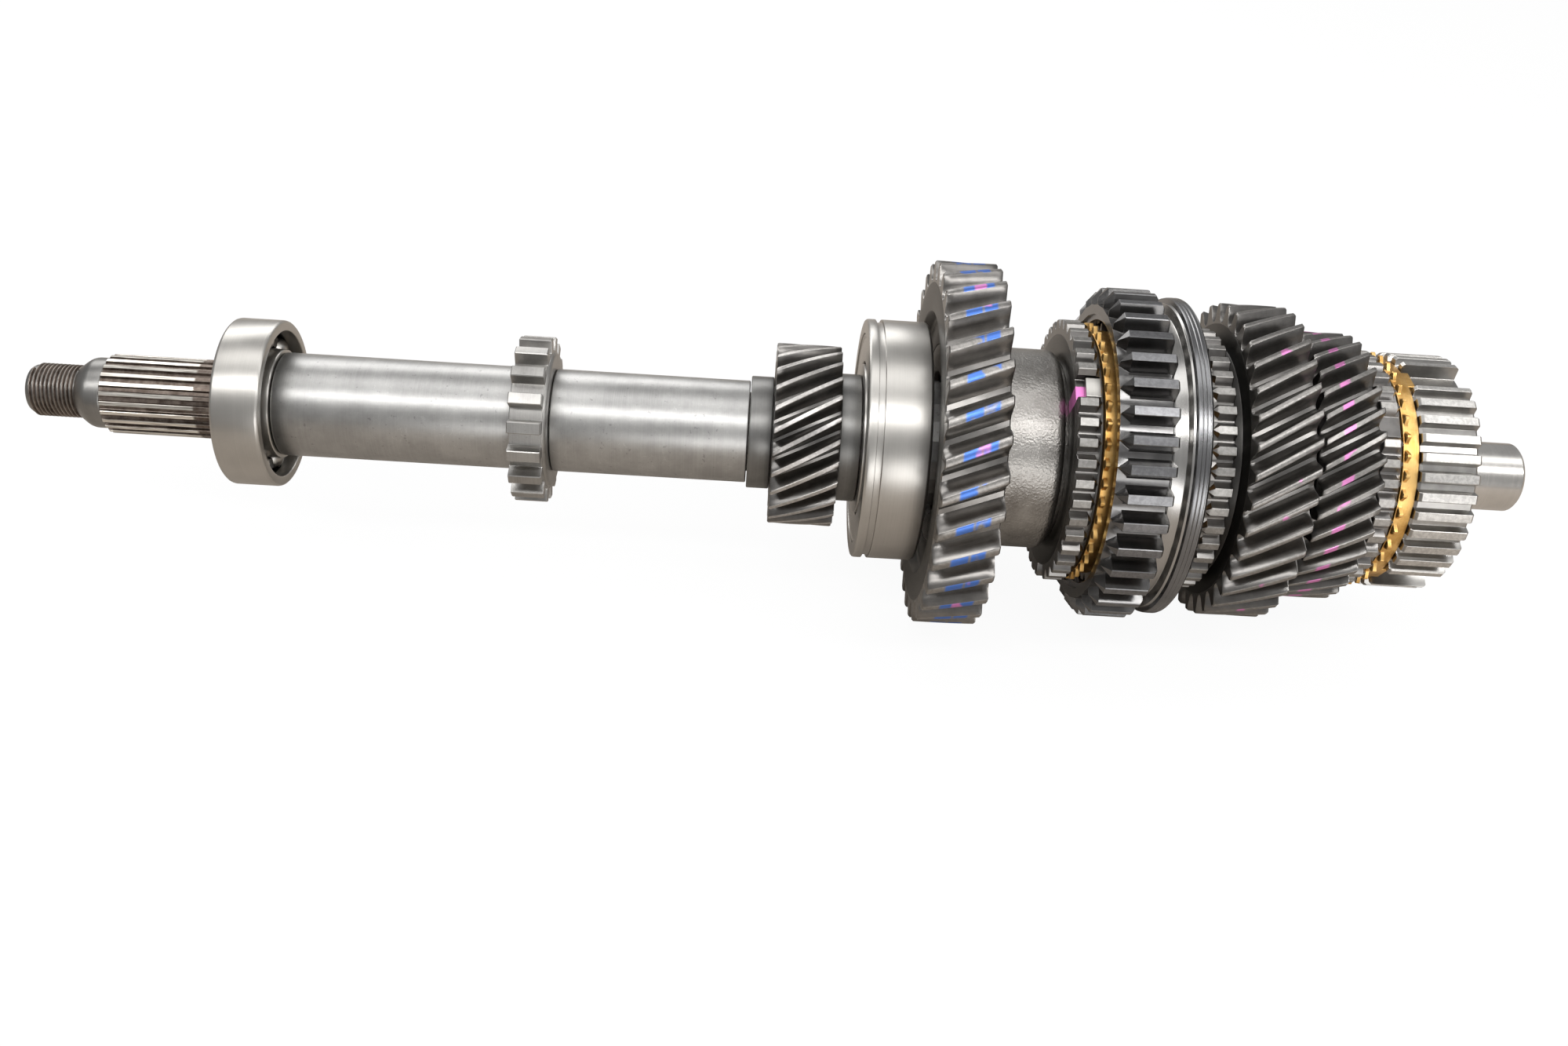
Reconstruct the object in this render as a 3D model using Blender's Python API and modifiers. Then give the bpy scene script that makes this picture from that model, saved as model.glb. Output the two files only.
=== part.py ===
"""Main shaft of a manual gearbox, with its gears, synchronisers and bearings.

The shaft lies along X, from its threaded output end at -X to its pilot journal at +X, with the
origin on its axis at mid-length. Every station along the shaft is worked out from the widths of
the pieces before it, and every bore from the journal that it runs on.
"""
import math

import bmesh
import bpy

# Clearances
GAP = 0.0003
RACE_GAP = 0.0006
FLANK_GAP = 0.0004

# Facets around a turn
SHAFT_STEPS = 20
RING_STEPS = 24
FINE_STEPS = 28
SHARP_ANGLE = math.radians(30.0)

# Shaft, from the threaded end
THREAD_LENGTH = 0.0172
THREAD_RADIUS = 0.0100
NECK_LENGTH = 0.0128
NECK_RADIUS = 0.0131
OUTPUT_SPLINE_LENGTH = 0.0450
OUTPUT_SPLINE_RADIUS = 0.0147
OUTPUT_SPLINE_DEPTH = 0.0013
OUTPUT_SPLINE_TEETH = 26
OUTPUT_SPLINE_LAND = 0.50
REAR_JOURNAL_RADIUS = 0.0149
FIFTH_JOURNAL_RADIUS = 0.0175
CENTRE_JOURNAL_RADIUS = 0.0197
FIRST_HUB_JOURNAL_RADIUS = 0.0215
SECOND_JOURNAL_RADIUS = 0.0240
THRUST_FLANGE_RADIUS = 0.0300
THRUST_FLANGE_WIDTH = 0.0040
THIRD_JOURNAL_RADIUS = 0.0220
FRONT_HUB_JOURNAL_RADIUS = 0.0190
PILOT_RADIUS = 0.0130
PILOT_LENGTH = 0.0310
END_CHAMFER = 0.0012
CENTRE_DRILL_RADIUS = 0.0032
CENTRE_DRILL_DEPTH = 0.0045

# Rear ball bearing
REAR_BEARING_WIDTH = 0.0160
REAR_BEARING_RADIUS = 0.0310
REAR_INNER_RING_RADIUS = 0.0203
REAR_OUTER_RING_BORE = 0.0272
REAR_BALL_RADIUS = 0.0047
REAR_BALL_COUNT = 9
REAR_BALL_PHASE = math.radians(65.0)

# Spacers and speed sensor ring
LONG_SLEEVE_RADIUS = 0.0192
REAR_SLEEVE_LENGTH = 0.0884
FRONT_SLEEVE_LENGTH = 0.0709
SENSOR_RING_WIDTH = 0.0133
SENSOR_TIP_RADIUS = 0.0310
SENSOR_ROOT_RADIUS = 0.0262
SENSOR_BOSS_WIDTH = 0.0015
SENSOR_TEETH = 18
SENSOR_PHASE = math.radians(131.0)
COLLAR_WIDTH = 0.0078
COLLAR_RADIUS = 0.0211
THRUST_SPACER_WIDTH = 0.0078
THRUST_SPACER_RADIUS = 0.0240

# Centre ball bearing
CENTRE_BEARING_WIDTH = 0.0230
CENTRE_BEARING_RADIUS = 0.0450
CENTRE_INNER_RING_RADIUS = 0.0281
CENTRE_OUTER_RING_BORE = 0.0386
CENTRE_BALL_RADIUS = 0.0075
CENTRE_BALL_COUNT = 8
SNAP_GROOVE_OFFSET = 0.0036
SNAP_GROOVE_WIDTH = 0.0024
SNAP_GROOVE_DEPTH = 0.0012
SHIELD_RADIUS = 0.0392
SHIELD_BORE = 0.0290
SHIELD_SEAT = 0.0008
SHIELD_THICKNESS = 0.0006

# Fifth gear, fixed on the shaft
FIFTH_GEAR_WIDTH = 0.0247
FIFTH_GEAR_RADIUS = 0.0340
FIFTH_GEAR_DEPTH = 0.0055
FIFTH_GEAR_TEETH = 26
FIFTH_GEAR_HELIX = math.radians(28.0)

# First gear, on a bush and a needle cage
FIRST_BUSH_RADIUS = 0.0235
NEEDLE_RADIUS = 0.0015
CAGE_WALL = 0.0022
FIRST_GEAR_SIDE_GAP = 0.0012
FIRST_GEAR_WIDTH = 0.0224
FIRST_GEAR_RADIUS = 0.0680
FIRST_GEAR_DEPTH = 0.0068
FIRST_GEAR_TEETH = 32
FIRST_GEAR_HELIX = math.radians(22.5)
FIRST_RIM = 0.0132
FIRST_RECESS_DEPTH = 0.0040
FIRST_NECK_LENGTH = 0.0210
FIRST_NECK_STEP = 0.0006
FIRST_NECK_FILLET = 0.0030
FIRST_GROOVE_WIDTH = 0.0050
FIRST_HUB_WALL = 0.0061
FIRST_SEAT_STEP = 0.0035
FIRST_CONE_WALL = 0.0072

# Clutch teeth of the first and second gears, their synchro rings and the 1-2 hub and sleeve
CLUTCH_TEETH = 44
CLUTCH_DEPTH = 0.0030
CLUTCH_LAND = 0.44
CLUTCH_PHASE = math.radians(118.0)
CLUTCH_POINT = 0.0030
FIRST_CLUTCH_WIDTH = 0.0088
SECOND_CLUTCH_WIDTH = 0.0070
NOTCH_DEPTH = 0.0026
LUG_WIDTH = 0.0062
LUG_COUNT = 3
CONE_TAPER = 0.09
CONE_GAP = 0.0005
CONE_RING_WALL = 0.0020
CONE_RING_FLANGE = 0.0016
CONE_LUG_LENGTH = 0.0062
SYNCHRO_WIDTH = 0.0058
SYNCHRO_FLOAT = 0.0006
SYNCHRO_TOOTH_WIDTH = 0.0026
SYNCHRO_TOOTH_SETBACK = 0.0006
SECOND_SYNCHRO_WIDTH = 0.0074
SECOND_SYNCHRO_SETBACK = 0.0015
SYNCHRO_LUG_LENGTH = 0.0024
SYNCHRO_LUG_DEPTH = 0.0025
SYNCHRO_WALL = 0.0023
SYNCHRO_GROOVE_WALL = 0.0025

FIRST_HUB_WIDTH = 0.0224
HUB_RECESS_DEPTH = 0.0040
HUB_RECESS_BORE = 0.0300
HUB_RECESS_STEP = 0.0010
KEY_SLOT_WIDTH = 0.0105
KEY_SLOT_DEPTH = 0.0061
KEY_END_GAP = 0.0006
KEY_HEIGHT = 0.0050
KEY_HUMP_HEIGHT = 0.0007
KEY_HUMP_LENGTH = 0.0050
SPRING_WIRE_RADIUS = 0.0007
SPRING_OPENING = math.radians(40.0)

SLEEVE_LENGTH = 0.0303
SLEEVE_TEETH = 36
SLEEVE_WALL = 0.0047
SLEEVE_TOOTH_FOOT = 0.0015
SLEEVE_TOOTH_DEPTH = 0.0066
SLEEVE_TOOTH_LENGTH = 0.0185
SLEEVE_POINT = 0.0040
SLEEVE_FLANGE_WIDTH = 0.0055
SLEEVE_FLANGE_HEIGHT = 0.0058

# Second gear
SECOND_GEAR_WIDTH = 0.0240
SECOND_GEAR_RADIUS = 0.0590
SECOND_GEAR_DEPTH = 0.0066
SECOND_GEAR_TEETH = 36
SECOND_GEAR_HELIX = math.radians(30.0)
SECOND_GROOVE_WIDTH = 0.0026
SECOND_GROOVE_DEPTH = 0.0023

# Third gear, its clutch teeth and its synchro ring
THIRD_GEAR_WIDTH = 0.0246
THIRD_GEAR_RADIUS = 0.0505
THIRD_GEAR_DEPTH = 0.0060
THIRD_GEAR_TEETH = 36
THIRD_GEAR_HELIX = math.radians(31.0)
FRONT_CLUTCH_TEETH = 42
FRONT_CLUTCH_WALL = 0.0025
FRONT_CLUTCH_DEPTH = 0.0027
FRONT_CLUTCH_LAND = 0.46
THIRD_CLUTCH_WIDTH = 0.0086
THIRD_CLUTCH_PHASE = math.radians(122.4)
THIRD_CONE_WALL = 0.0139

# 3-4 hub
FRONT_HUB_WIDTH = 0.0210
FRONT_HUB_STEP = 0.0005
FRONT_HUB_DEPTH = 0.0028
FRONT_HUB_PHASE = math.radians(92.4)
FRONT_HUB_RECESS_STEP = 0.0020
FRONT_HUB_RECESS_BORE = 0.0240
FRONT_HUB_RECESS_DEPTH = 0.0060
FRONT_SLOT_WIDTH = 0.0130
FRONT_SLOT_DEPTH = 0.0060
SNAP_RING_WIDTH = 0.0020
SNAP_RING_RADIUS = 0.0215
SNAP_RING_SEAT = 0.0170
SNAP_RING_OPENING = math.radians(30.0)

# Stations along the shaft, counted from the threaded end
X_NECK = THREAD_LENGTH
X_SPLINE = X_NECK + NECK_LENGTH
X_REAR_BEARING = X_SPLINE + OUTPUT_SPLINE_LENGTH + GAP
X_REAR_SLEEVE = X_REAR_BEARING + REAR_BEARING_WIDTH + GAP
X_SENSOR = X_REAR_SLEEVE + REAR_SLEEVE_LENGTH + GAP
X_FRONT_SLEEVE = X_SENSOR + SENSOR_RING_WIDTH + SENSOR_BOSS_WIDTH + GAP
X_COLLAR = X_FRONT_SLEEVE + FRONT_SLEEVE_LENGTH + GAP
X_FIFTH = X_COLLAR + COLLAR_WIDTH + GAP
X_THRUST_SPACER = X_FIFTH + FIFTH_GEAR_WIDTH + GAP
X_CENTRE_BEARING = X_THRUST_SPACER + THRUST_SPACER_WIDTH + GAP
X_FIRST_BUSH = X_CENTRE_BEARING + CENTRE_BEARING_WIDTH + GAP
X_FIRST_GEAR = X_FIRST_BUSH + FIRST_GEAR_SIDE_GAP
X_FIRST_CLUTCH = X_FIRST_GEAR + FIRST_GEAR_WIDTH + FIRST_NECK_LENGTH + FIRST_GROOVE_WIDTH
X_CONE_RING = X_FIRST_CLUTCH + FIRST_CLUTCH_WIDTH + GAP
X_FIRST_SYNCHRO = X_CONE_RING + CONE_RING_FLANGE + GAP + SYNCHRO_FLOAT
X_FIRST_HUB = X_FIRST_SYNCHRO + SYNCHRO_WIDTH + GAP
X_SECOND_SYNCHRO = X_FIRST_HUB + FIRST_HUB_WIDTH + GAP
X_SECOND_CLUTCH = X_SECOND_SYNCHRO + SECOND_SYNCHRO_WIDTH + SYNCHRO_FLOAT + GAP
X_SECOND_GEAR = X_SECOND_CLUTCH + SECOND_CLUTCH_WIDTH + SECOND_GROOVE_WIDTH
X_THIRD_GEAR = X_SECOND_GEAR + SECOND_GEAR_WIDTH + 4 * GAP
X_THIRD_CLUTCH = X_THIRD_GEAR + THIRD_GEAR_WIDTH
X_THIRD_SYNCHRO = X_THIRD_CLUTCH + THIRD_CLUTCH_WIDTH + GAP + SYNCHRO_FLOAT
X_FRONT_HUB = X_THIRD_SYNCHRO + SYNCHRO_WIDTH + GAP
X_SNAP_RING = X_FRONT_HUB + FRONT_HUB_WIDTH + GAP
SHAFT_LENGTH = X_SNAP_RING + SNAP_RING_WIDTH + GAP + PILOT_LENGTH
X_FLANGE = X_SECOND_GEAR + SECOND_GEAR_WIDTH + 2 * GAP - THRUST_FLANGE_WIDTH / 2

FIRST_HUB_MIDDLE = X_FIRST_HUB + FIRST_HUB_WIDTH / 2

# Radii, from the journals outwards
FIRST_BORE_RADIUS = FIRST_BUSH_RADIUS + 2 * NEEDLE_RADIUS + 3 * GAP
FIRST_GROOVE_RADIUS = FIRST_BORE_RADIUS + FIRST_HUB_WALL
FIRST_SEAT_RADIUS = FIRST_GROOVE_RADIUS + FIRST_SEAT_STEP
FIRST_NECK_RADIUS = FIRST_SEAT_RADIUS + FIRST_NECK_STEP
FIRST_RECESS_RADIUS = FIRST_GEAR_RADIUS - FIRST_GEAR_DEPTH - FIRST_RIM
CONE_RADIUS = FIRST_GROOVE_RADIUS + GAP + FIRST_CONE_WALL
SYNCHRO_CONE_RADIUS = CONE_RADIUS + 2 * CONE_GAP + CONE_RING_WALL
CLUTCH_ROOT_RADIUS = SYNCHRO_CONE_RADIUS + SYNCHRO_WALL
CLUTCH_TIP_RADIUS = CLUTCH_ROOT_RADIUS + CLUTCH_DEPTH
NOTCH_FLOOR_RADIUS = CLUTCH_ROOT_RADIUS - NOTCH_DEPTH
KEY_SLOT_FLOOR = CLUTCH_ROOT_RADIUS - KEY_SLOT_DEPTH
HUB_RECESS_RADIUS = KEY_SLOT_FLOOR + HUB_RECESS_STEP
SLEEVE_GROOVE_RADIUS = CLUTCH_TIP_RADIUS + SLEEVE_WALL
SECOND_GROOVE_RADIUS = CLUTCH_ROOT_RADIUS - SECOND_GROOVE_DEPTH
SECOND_BORE_RADIUS = SECOND_JOURNAL_RADIUS + 2 * NEEDLE_RADIUS + 3 * GAP
THIRD_BORE_RADIUS = THIRD_JOURNAL_RADIUS + 2 * NEEDLE_RADIUS + 3 * GAP
FRONT_CONE_RADIUS = THIRD_BORE_RADIUS + THIRD_CONE_WALL
FRONT_CLUTCH_ROOT_RADIUS = FRONT_CONE_RADIUS + FRONT_CLUTCH_WALL
FRONT_CLUTCH_TIP_RADIUS = FRONT_CLUTCH_ROOT_RADIUS + FRONT_CLUTCH_DEPTH
FRONT_HUB_RADIUS = FRONT_CLUTCH_TIP_RADIUS - FRONT_HUB_STEP
FRONT_SLOT_FLOOR = FRONT_HUB_RADIUS - FRONT_SLOT_DEPTH
FRONT_HUB_RECESS_RADIUS = FRONT_SLOT_FLOOR - FRONT_HUB_RECESS_STEP

STEEL = ("ground_steel", (0.62, 0.61, 0.60), 0.22, 1.0)
SATIN = ("satin_steel", (0.42, 0.42, 0.42), 0.42, 1.0)
DARK = ("dark_steel", (0.16, 0.155, 0.15), 0.35, 1.0)
GEAR = ("gear_steel", (0.26, 0.25, 0.24), 0.30, 1.0)
BRASS = ("synchro_brass", (0.72, 0.47, 0.17), 0.30, 1.0)
CAGE = ("cage_steel", (0.30, 0.29, 0.28), 0.45, 1.0)

for leftover in list(bpy.data.objects):
    bpy.data.objects.remove(leftover)

assembly = bpy.data.collections.new("transmission_main_shaft")
tools = bpy.data.collections.new("cutters")
bpy.context.scene.collection.children.link(assembly)
bpy.context.scene.collection.children.link(tools)

axis = bpy.data.objects.new("shaft_axis", None)
axis.location.x = -SHAFT_LENGTH / 2
assembly.objects.link(axis)


def finish_material(finish):
    """The material of a finish, made once."""
    name, colour, roughness, metallic = finish
    made = bpy.data.materials.get(name)
    if made is None:
        made = bpy.data.materials.new(name)
        made.use_nodes = True
        shader = made.node_tree.nodes["Principled BSDF"]
        shader.inputs["Base Color"].default_value = (*colour, 1.0)
        shader.inputs["Roughness"].default_value = roughness
        shader.inputs["Metallic"].default_value = metallic
    return made


def place(name, mesh, finish, station, phase=0.0):
    """Put a mesh on the shaft axis at its station, turned by its phase. No finish makes it a cutter."""
    obj = bpy.data.objects.new(name, mesh)
    obj.parent = axis
    obj.location.x = station
    obj.rotation_euler.x = phase
    if finish is None:
        obj.hide_render = True
        obj.display_type = "WIRE"
        tools.objects.link(obj)
    else:
        obj.data.materials.append(finish_material(finish))
        assembly.objects.link(obj)
    return obj


def turned(name, outline, finish, station, steps=RING_STEPS, phase=0.0):
    """Turn an outline of (x, radius) points about the shaft. A closed outline makes a ring."""
    closed = all(radius > 0 for _, radius in outline)
    area = sum(
        x0 * r1 - x1 * r0 for (x0, r0), (x1, r1) in zip(outline, outline[1:] + outline[:1])
    )
    if area < 0:
        outline = outline[::-1]
    mesh = bpy.data.meshes.new(name)
    edges = [(i, i + 1) for i in range(len(outline) - 1)]
    if closed:
        edges.append((len(outline) - 1, 0))
    mesh.from_pydata([(x, 0.0, radius) for x, radius in outline], edges, [])
    obj = place(name, mesh, finish, station, phase)
    screw = obj.modifiers.new("turn", "SCREW")
    screw.axis = "X"
    screw.steps = steps
    screw.render_steps = steps
    screw.use_merge_vertices = True
    screw.merge_threshold = 0.00001
    screw.use_smooth_shade = False
    return obj


def ring(name, width, bore, radius, finish, station, steps=RING_STEPS):
    """A plain ring with square edges."""
    outline = [(0.0, bore), (width, bore), (width, radius), (0.0, radius)]
    return turned(name, outline, finish, station, steps)


def rod(name, width, radius, station, steps=RING_STEPS):
    """A solid cylinder that cuts a bore."""
    outline = [(0.0, 0.0), (0.0, radius), (width, radius), (width, 0.0)]
    return turned(name, outline, None, station, steps)


def tooth_outline(count, tip, root, tip_share, root_share):
    """Trapezium teeth, as (radius, angle) points. The shares are tooth widths over the pitch."""
    pitch = 2 * math.pi / count
    points = []
    for i in range(count):
        middle = i * pitch
        points.append((root, middle - root_share * pitch / 2))
        points.append((tip, middle - tip_share * pitch / 2))
        points.append((tip, middle + tip_share * pitch / 2))
        points.append((root, middle + root_share * pitch / 2))
    return points


def notched_teeth(count):
    """The teeth left out for lugs, as near to even spacing as the tooth count allows."""
    return [round(i * count / LUG_COUNT) for i in range(LUG_COUNT)]


def clutch_outline(count, tip, root, land, missing=(), floor=0.0):
    """Clutch teeth with flat lands and V-shaped roots. A missing tooth leaves a notch down to the floor."""
    pitch = 2 * math.pi / count
    points = []
    for i in range(count):
        middle = i * pitch
        if i in missing:
            points.append((floor, middle - 0.25 * pitch))
            points.append((floor, middle + 0.25 * pitch))
            points.append((floor, middle + 0.66 * pitch))
        else:
            points.append((tip, middle - land * pitch / 2))
            points.append((tip, middle + land * pitch / 2))
            before_notch = (i + 1) % count in missing
            reach = 0.34 if before_notch else 0.5
            points.append((floor if before_notch else root, middle + reach * pitch))
    return points


def flat(face):
    """Whether the corners of a face lie in one plane."""
    anchor, one, two, three = [corner.co for corner in face.verts]
    normal = (one - anchor).cross(two - anchor).normalized()
    return abs(normal.dot(three - anchor)) < 0.000001


def toothed(name, sections, finish, station, phase=0.0):
    """Extrude a toothed outline from section to section. Each section is (x, twist, outline)."""
    bm = bmesh.new()
    order = bm.verts.layers.int.new("order")

    def spot(section, i):
        x, twist, outline = section
        radius, angle = outline[i]
        return (x, radius * math.cos(angle + twist), radius * math.sin(angle + twist))

    corners = []
    for i in range(len(sections[0][2])):
        corner = bm.verts.new(spot(sections[0], i))
        corner[order] = i
        corners.append(corner)
    face = bm.faces.new(corners)
    first = face
    for section in sections[1:]:
        start = face
        grown = bmesh.ops.extrude_face_region(bm, geom=[start])["geom"]
        face = next(part for part in grown if isinstance(part, bmesh.types.BMFace))
        if start is not first and start.is_valid:
            bm.faces.remove(start)
        for corner in face.verts:
            corner.co = spot(section, corner[order])
    bmesh.ops.remove_doubles(bm, verts=bm.verts, dist=0.00001)
    twisted = [wall for wall in bm.faces if len(wall.verts) == 4 and not flat(wall)]
    bmesh.ops.triangulate(bm, faces=twisted)
    bmesh.ops.recalc_face_normals(bm, faces=bm.faces)
    mesh = bpy.data.meshes.new(name)
    bm.to_mesh(mesh)
    bm.free()
    return place(name, mesh, finish, station, phase)


def even(count):
    """Angles spaced evenly around the shaft."""
    return [2 * math.pi * i / count for i in range(count)]


def blocks(name, angles, x0, x1, low, high, width, station, phase=0.0):
    """Blocks around the shaft at these angles, as one cutter or joining piece."""
    bm = bmesh.new()
    for angle in angles:
        made = bmesh.ops.create_cube(bm, size=1.0)["verts"]
        for corner in made:
            x = x0 if corner.co.x < 0 else x1
            radius = low if corner.co.z < 0 else high
            across = width * corner.co.y
            corner.co = (
                x,
                radius * math.cos(angle) - across * math.sin(angle),
                radius * math.sin(angle) + across * math.cos(angle),
            )
    mesh = bpy.data.meshes.new(name)
    bmesh.ops.recalc_face_normals(bm, faces=bm.faces)
    bm.to_mesh(mesh)
    bm.free()
    return place(name, mesh, None, station, phase)


def combine(obj, other, operation):
    """A Boolean modifier that cuts the other object away or joins it on."""
    step = obj.modifiers.new(other.name, "BOOLEAN")
    step.operation = operation
    step.solver = "EXACT"
    step.object = other


def tidy():
    """Drop the needless points that Boolean cuts leave along straight edges."""
    for obj in assembly.objects:
        if any(step.type == "BOOLEAN" for step in obj.modifiers):
            weld = obj.modifiers.new("weld", "WELD")
            weld.merge_threshold = 0.00001
            step = obj.modifiers.new("tidy", "DECIMATE")
            step.decimate_type = "DISSOLVE"
            step.angle_limit = math.radians(0.1)


def shade_round():
    """Bake each piece's modifiers and shade it smooth, with its sharp edges kept."""
    graph = bpy.context.evaluated_depsgraph_get()
    pieces = [obj for obj in assembly.objects if obj.type == "MESH"]
    baked = [bpy.data.meshes.new_from_object(obj.evaluated_get(graph)) for obj in pieces]
    for obj, mesh in zip(pieces, baked):
        obj.modifiers.clear()
        obj.data = mesh
        mesh.shade_smooth()
        mesh.set_sharp_from_angle(angle=SHARP_ANGLE)


def race(radius, middle, ball, pitch_radius, outward):
    """Points of a ball groove cut in a race of this radius, from low x to high x."""
    groove = ball + RACE_GAP
    reach = abs(radius - pitch_radius)
    half = math.acos(reach / groove)
    points = []
    for i in range(4):
        angle = -half + 2 * half * i / 3
        depth = groove * math.cos(angle)
        points.append((middle + groove * math.sin(angle), pitch_radius + outward * depth))
    return points


def gear_rim(name, teeth, radius, depth, width, helix, finish, station, segments=1):
    """A helical toothed disc. Its teeth climb towards the camera side's top as x grows."""
    twist = -width * math.tan(helix) / radius
    outline = tooth_outline(teeth, radius, radius - depth, 0.26, 0.64)
    sections = [(width * i / segments, twist * i / segments, outline) for i in range(segments + 1)]
    return toothed(name, sections, finish, station)


def ball_bearing(prefix, station, bore, radius, width, inner_radius, outer_bore, ball, count, phase, extra):
    """A deep-groove ball bearing: two rings, a crown cage and its balls."""
    pitch_radius = (inner_radius + outer_bore) / 2
    middle = width / 2
    inner = [(0.0, bore), (0.0, inner_radius)]
    inner += race(inner_radius, middle, ball, pitch_radius, -1)
    inner += [(width, inner_radius), (width, bore)]
    turned(f"{prefix}_inner_ring", inner, STEEL, station, SHAFT_STEPS)
    outer = extra["bore_steps"]
    outer += race(outer_bore, middle, ball, pitch_radius, 1)
    outer += [(width, outer_bore), (width, radius)]
    outer += extra["rim_steps"] + [(0.0, radius)]
    turned(f"{prefix}_outer_ring", outer, STEEL, station)

    cage_low = inner_radius + (pitch_radius - inner_radius) * 0.45
    cage_high = outer_bore - (outer_bore - pitch_radius) * 0.45
    cage_start = middle - ball - 0.3 * (middle - ball)
    cage_end = middle + ball * 0.62
    cage = ring(
        f"{prefix}_cage", cage_end - cage_start, cage_low, cage_high, CAGE, station + cage_start, SHAFT_STEPS,
    )
    pocket = 2 * (ball + GAP)
    slots = blocks(
        f"{prefix}_pockets", even(count), middle - ball - GAP, width, cage_low - ball, cage_high + ball,
        pocket, station, phase,
    )
    combine(cage, slots, "DIFFERENCE")

    for i in range(count):
        bm = bmesh.new()
        bmesh.ops.create_uvsphere(bm, u_segments=6, v_segments=5, radius=ball)
        mesh = bpy.data.meshes.new(f"{prefix}_ball")
        bm.to_mesh(mesh)
        bm.free()
        sphere = place(f"{prefix}_ball_{i + 1}", mesh, STEEL, station + middle)
        angle = phase + 2 * math.pi * i / count
        sphere.location.y = pitch_radius * math.cos(angle)
        sphere.location.z = pitch_radius * math.sin(angle)


def needle_cage(name, journal, width, station):
    """A cage of needle rollers between a journal and a gear's bore, as one plain ring."""
    low = journal + GAP
    high = low + 2 * NEEDLE_RADIUS
    ring(name, width, low, high, CAGE, station, SHAFT_STEPS)


def open_ring(name, section, opening, finish, station, phase):
    """A ring sprung open by a gap: its section swept round most of a turn."""
    turn = 2 * math.pi - opening
    bm = bmesh.new()
    corners = [bm.verts.new((x, radius, 0.0)) for x, radius in section]
    start = bm.faces.new(corners)
    swept = bmesh.ops.spin(
        bm, geom=[start], axis=(1, 0, 0), cent=(0, 0, 0), angle=turn, steps=SHAFT_STEPS - 6,
        use_duplicate=False,
    )
    bmesh.ops.recalc_face_normals(bm, faces=bm.faces)
    mesh = bpy.data.meshes.new(name)
    bm.to_mesh(mesh)
    bm.free()
    return place(name, mesh, finish, station, phase)


def main_shaft():
    """The forging: thread, splines, journals, thrust flange and pilot."""
    spline_root = OUTPUT_SPLINE_RADIUS - OUTPUT_SPLINE_DEPTH
    outline = [
        (CENTRE_DRILL_DEPTH, 0.0),
        (0.0, CENTRE_DRILL_RADIUS),
        (0.0, THREAD_RADIUS - END_CHAMFER),
        (END_CHAMFER, THREAD_RADIUS),
        (X_NECK, THREAD_RADIUS),
        (X_NECK, NECK_RADIUS),
        (X_REAR_BEARING - 2 * GAP, NECK_RADIUS),
        (X_REAR_BEARING - 2 * GAP, REAR_JOURNAL_RADIUS),
        (X_FIFTH - GAP, REAR_JOURNAL_RADIUS),
        (X_FIFTH - GAP, FIFTH_JOURNAL_RADIUS),
        (X_CENTRE_BEARING - GAP, FIFTH_JOURNAL_RADIUS),
        (X_CENTRE_BEARING - GAP, CENTRE_JOURNAL_RADIUS),
        (X_FIRST_HUB, CENTRE_JOURNAL_RADIUS),
        (X_FIRST_HUB, FIRST_HUB_JOURNAL_RADIUS),
        (X_SECOND_SYNCHRO, FIRST_HUB_JOURNAL_RADIUS),
        (X_SECOND_SYNCHRO, SECOND_JOURNAL_RADIUS),
        (X_FLANGE, SECOND_JOURNAL_RADIUS),
        (X_FLANGE, THRUST_FLANGE_RADIUS),
        (X_FLANGE + THRUST_FLANGE_WIDTH, THRUST_FLANGE_RADIUS),
        (X_FLANGE + THRUST_FLANGE_WIDTH, THIRD_JOURNAL_RADIUS),
        (X_FRONT_HUB - GAP, THIRD_JOURNAL_RADIUS),
        (X_FRONT_HUB - GAP, FRONT_HUB_JOURNAL_RADIUS),
        (X_SNAP_RING - GAP, FRONT_HUB_JOURNAL_RADIUS),
        (X_SNAP_RING - GAP, SNAP_RING_SEAT),
        (X_SNAP_RING + SNAP_RING_WIDTH + GAP, SNAP_RING_SEAT),
        (X_SNAP_RING + SNAP_RING_WIDTH + GAP, PILOT_RADIUS),
        (SHAFT_LENGTH - END_CHAMFER, PILOT_RADIUS),
        (SHAFT_LENGTH, PILOT_RADIUS - END_CHAMFER),
        (SHAFT_LENGTH, CENTRE_DRILL_RADIUS),
        (SHAFT_LENGTH - CENTRE_DRILL_DEPTH, 0.0),
    ]
    shaft = turned("main_shaft", outline, SATIN, 0.0, SHAFT_STEPS)
    full = clutch_outline(OUTPUT_SPLINE_TEETH, OUTPUT_SPLINE_RADIUS, spline_root, OUTPUT_SPLINE_LAND)
    splines = toothed(
        "output_splines",
        [(X_SPLINE, 0.0, full), (X_REAR_BEARING - 3 * GAP, 0.0, full)],
        None, 0.0,
    )
    combine(shaft, splines, "UNION")


def rear_bearing():
    """Rear ball bearing, open on both sides."""
    ball_bearing(
        "rear_bearing", X_REAR_BEARING, REAR_JOURNAL_RADIUS + GAP, REAR_BEARING_RADIUS,
        REAR_BEARING_WIDTH, REAR_INNER_RING_RADIUS, REAR_OUTER_RING_BORE, REAR_BALL_RADIUS,
        REAR_BALL_COUNT, REAR_BALL_PHASE,
        {"bore_steps": [(0.0, REAR_OUTER_RING_BORE)], "rim_steps": []},
    )


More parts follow.
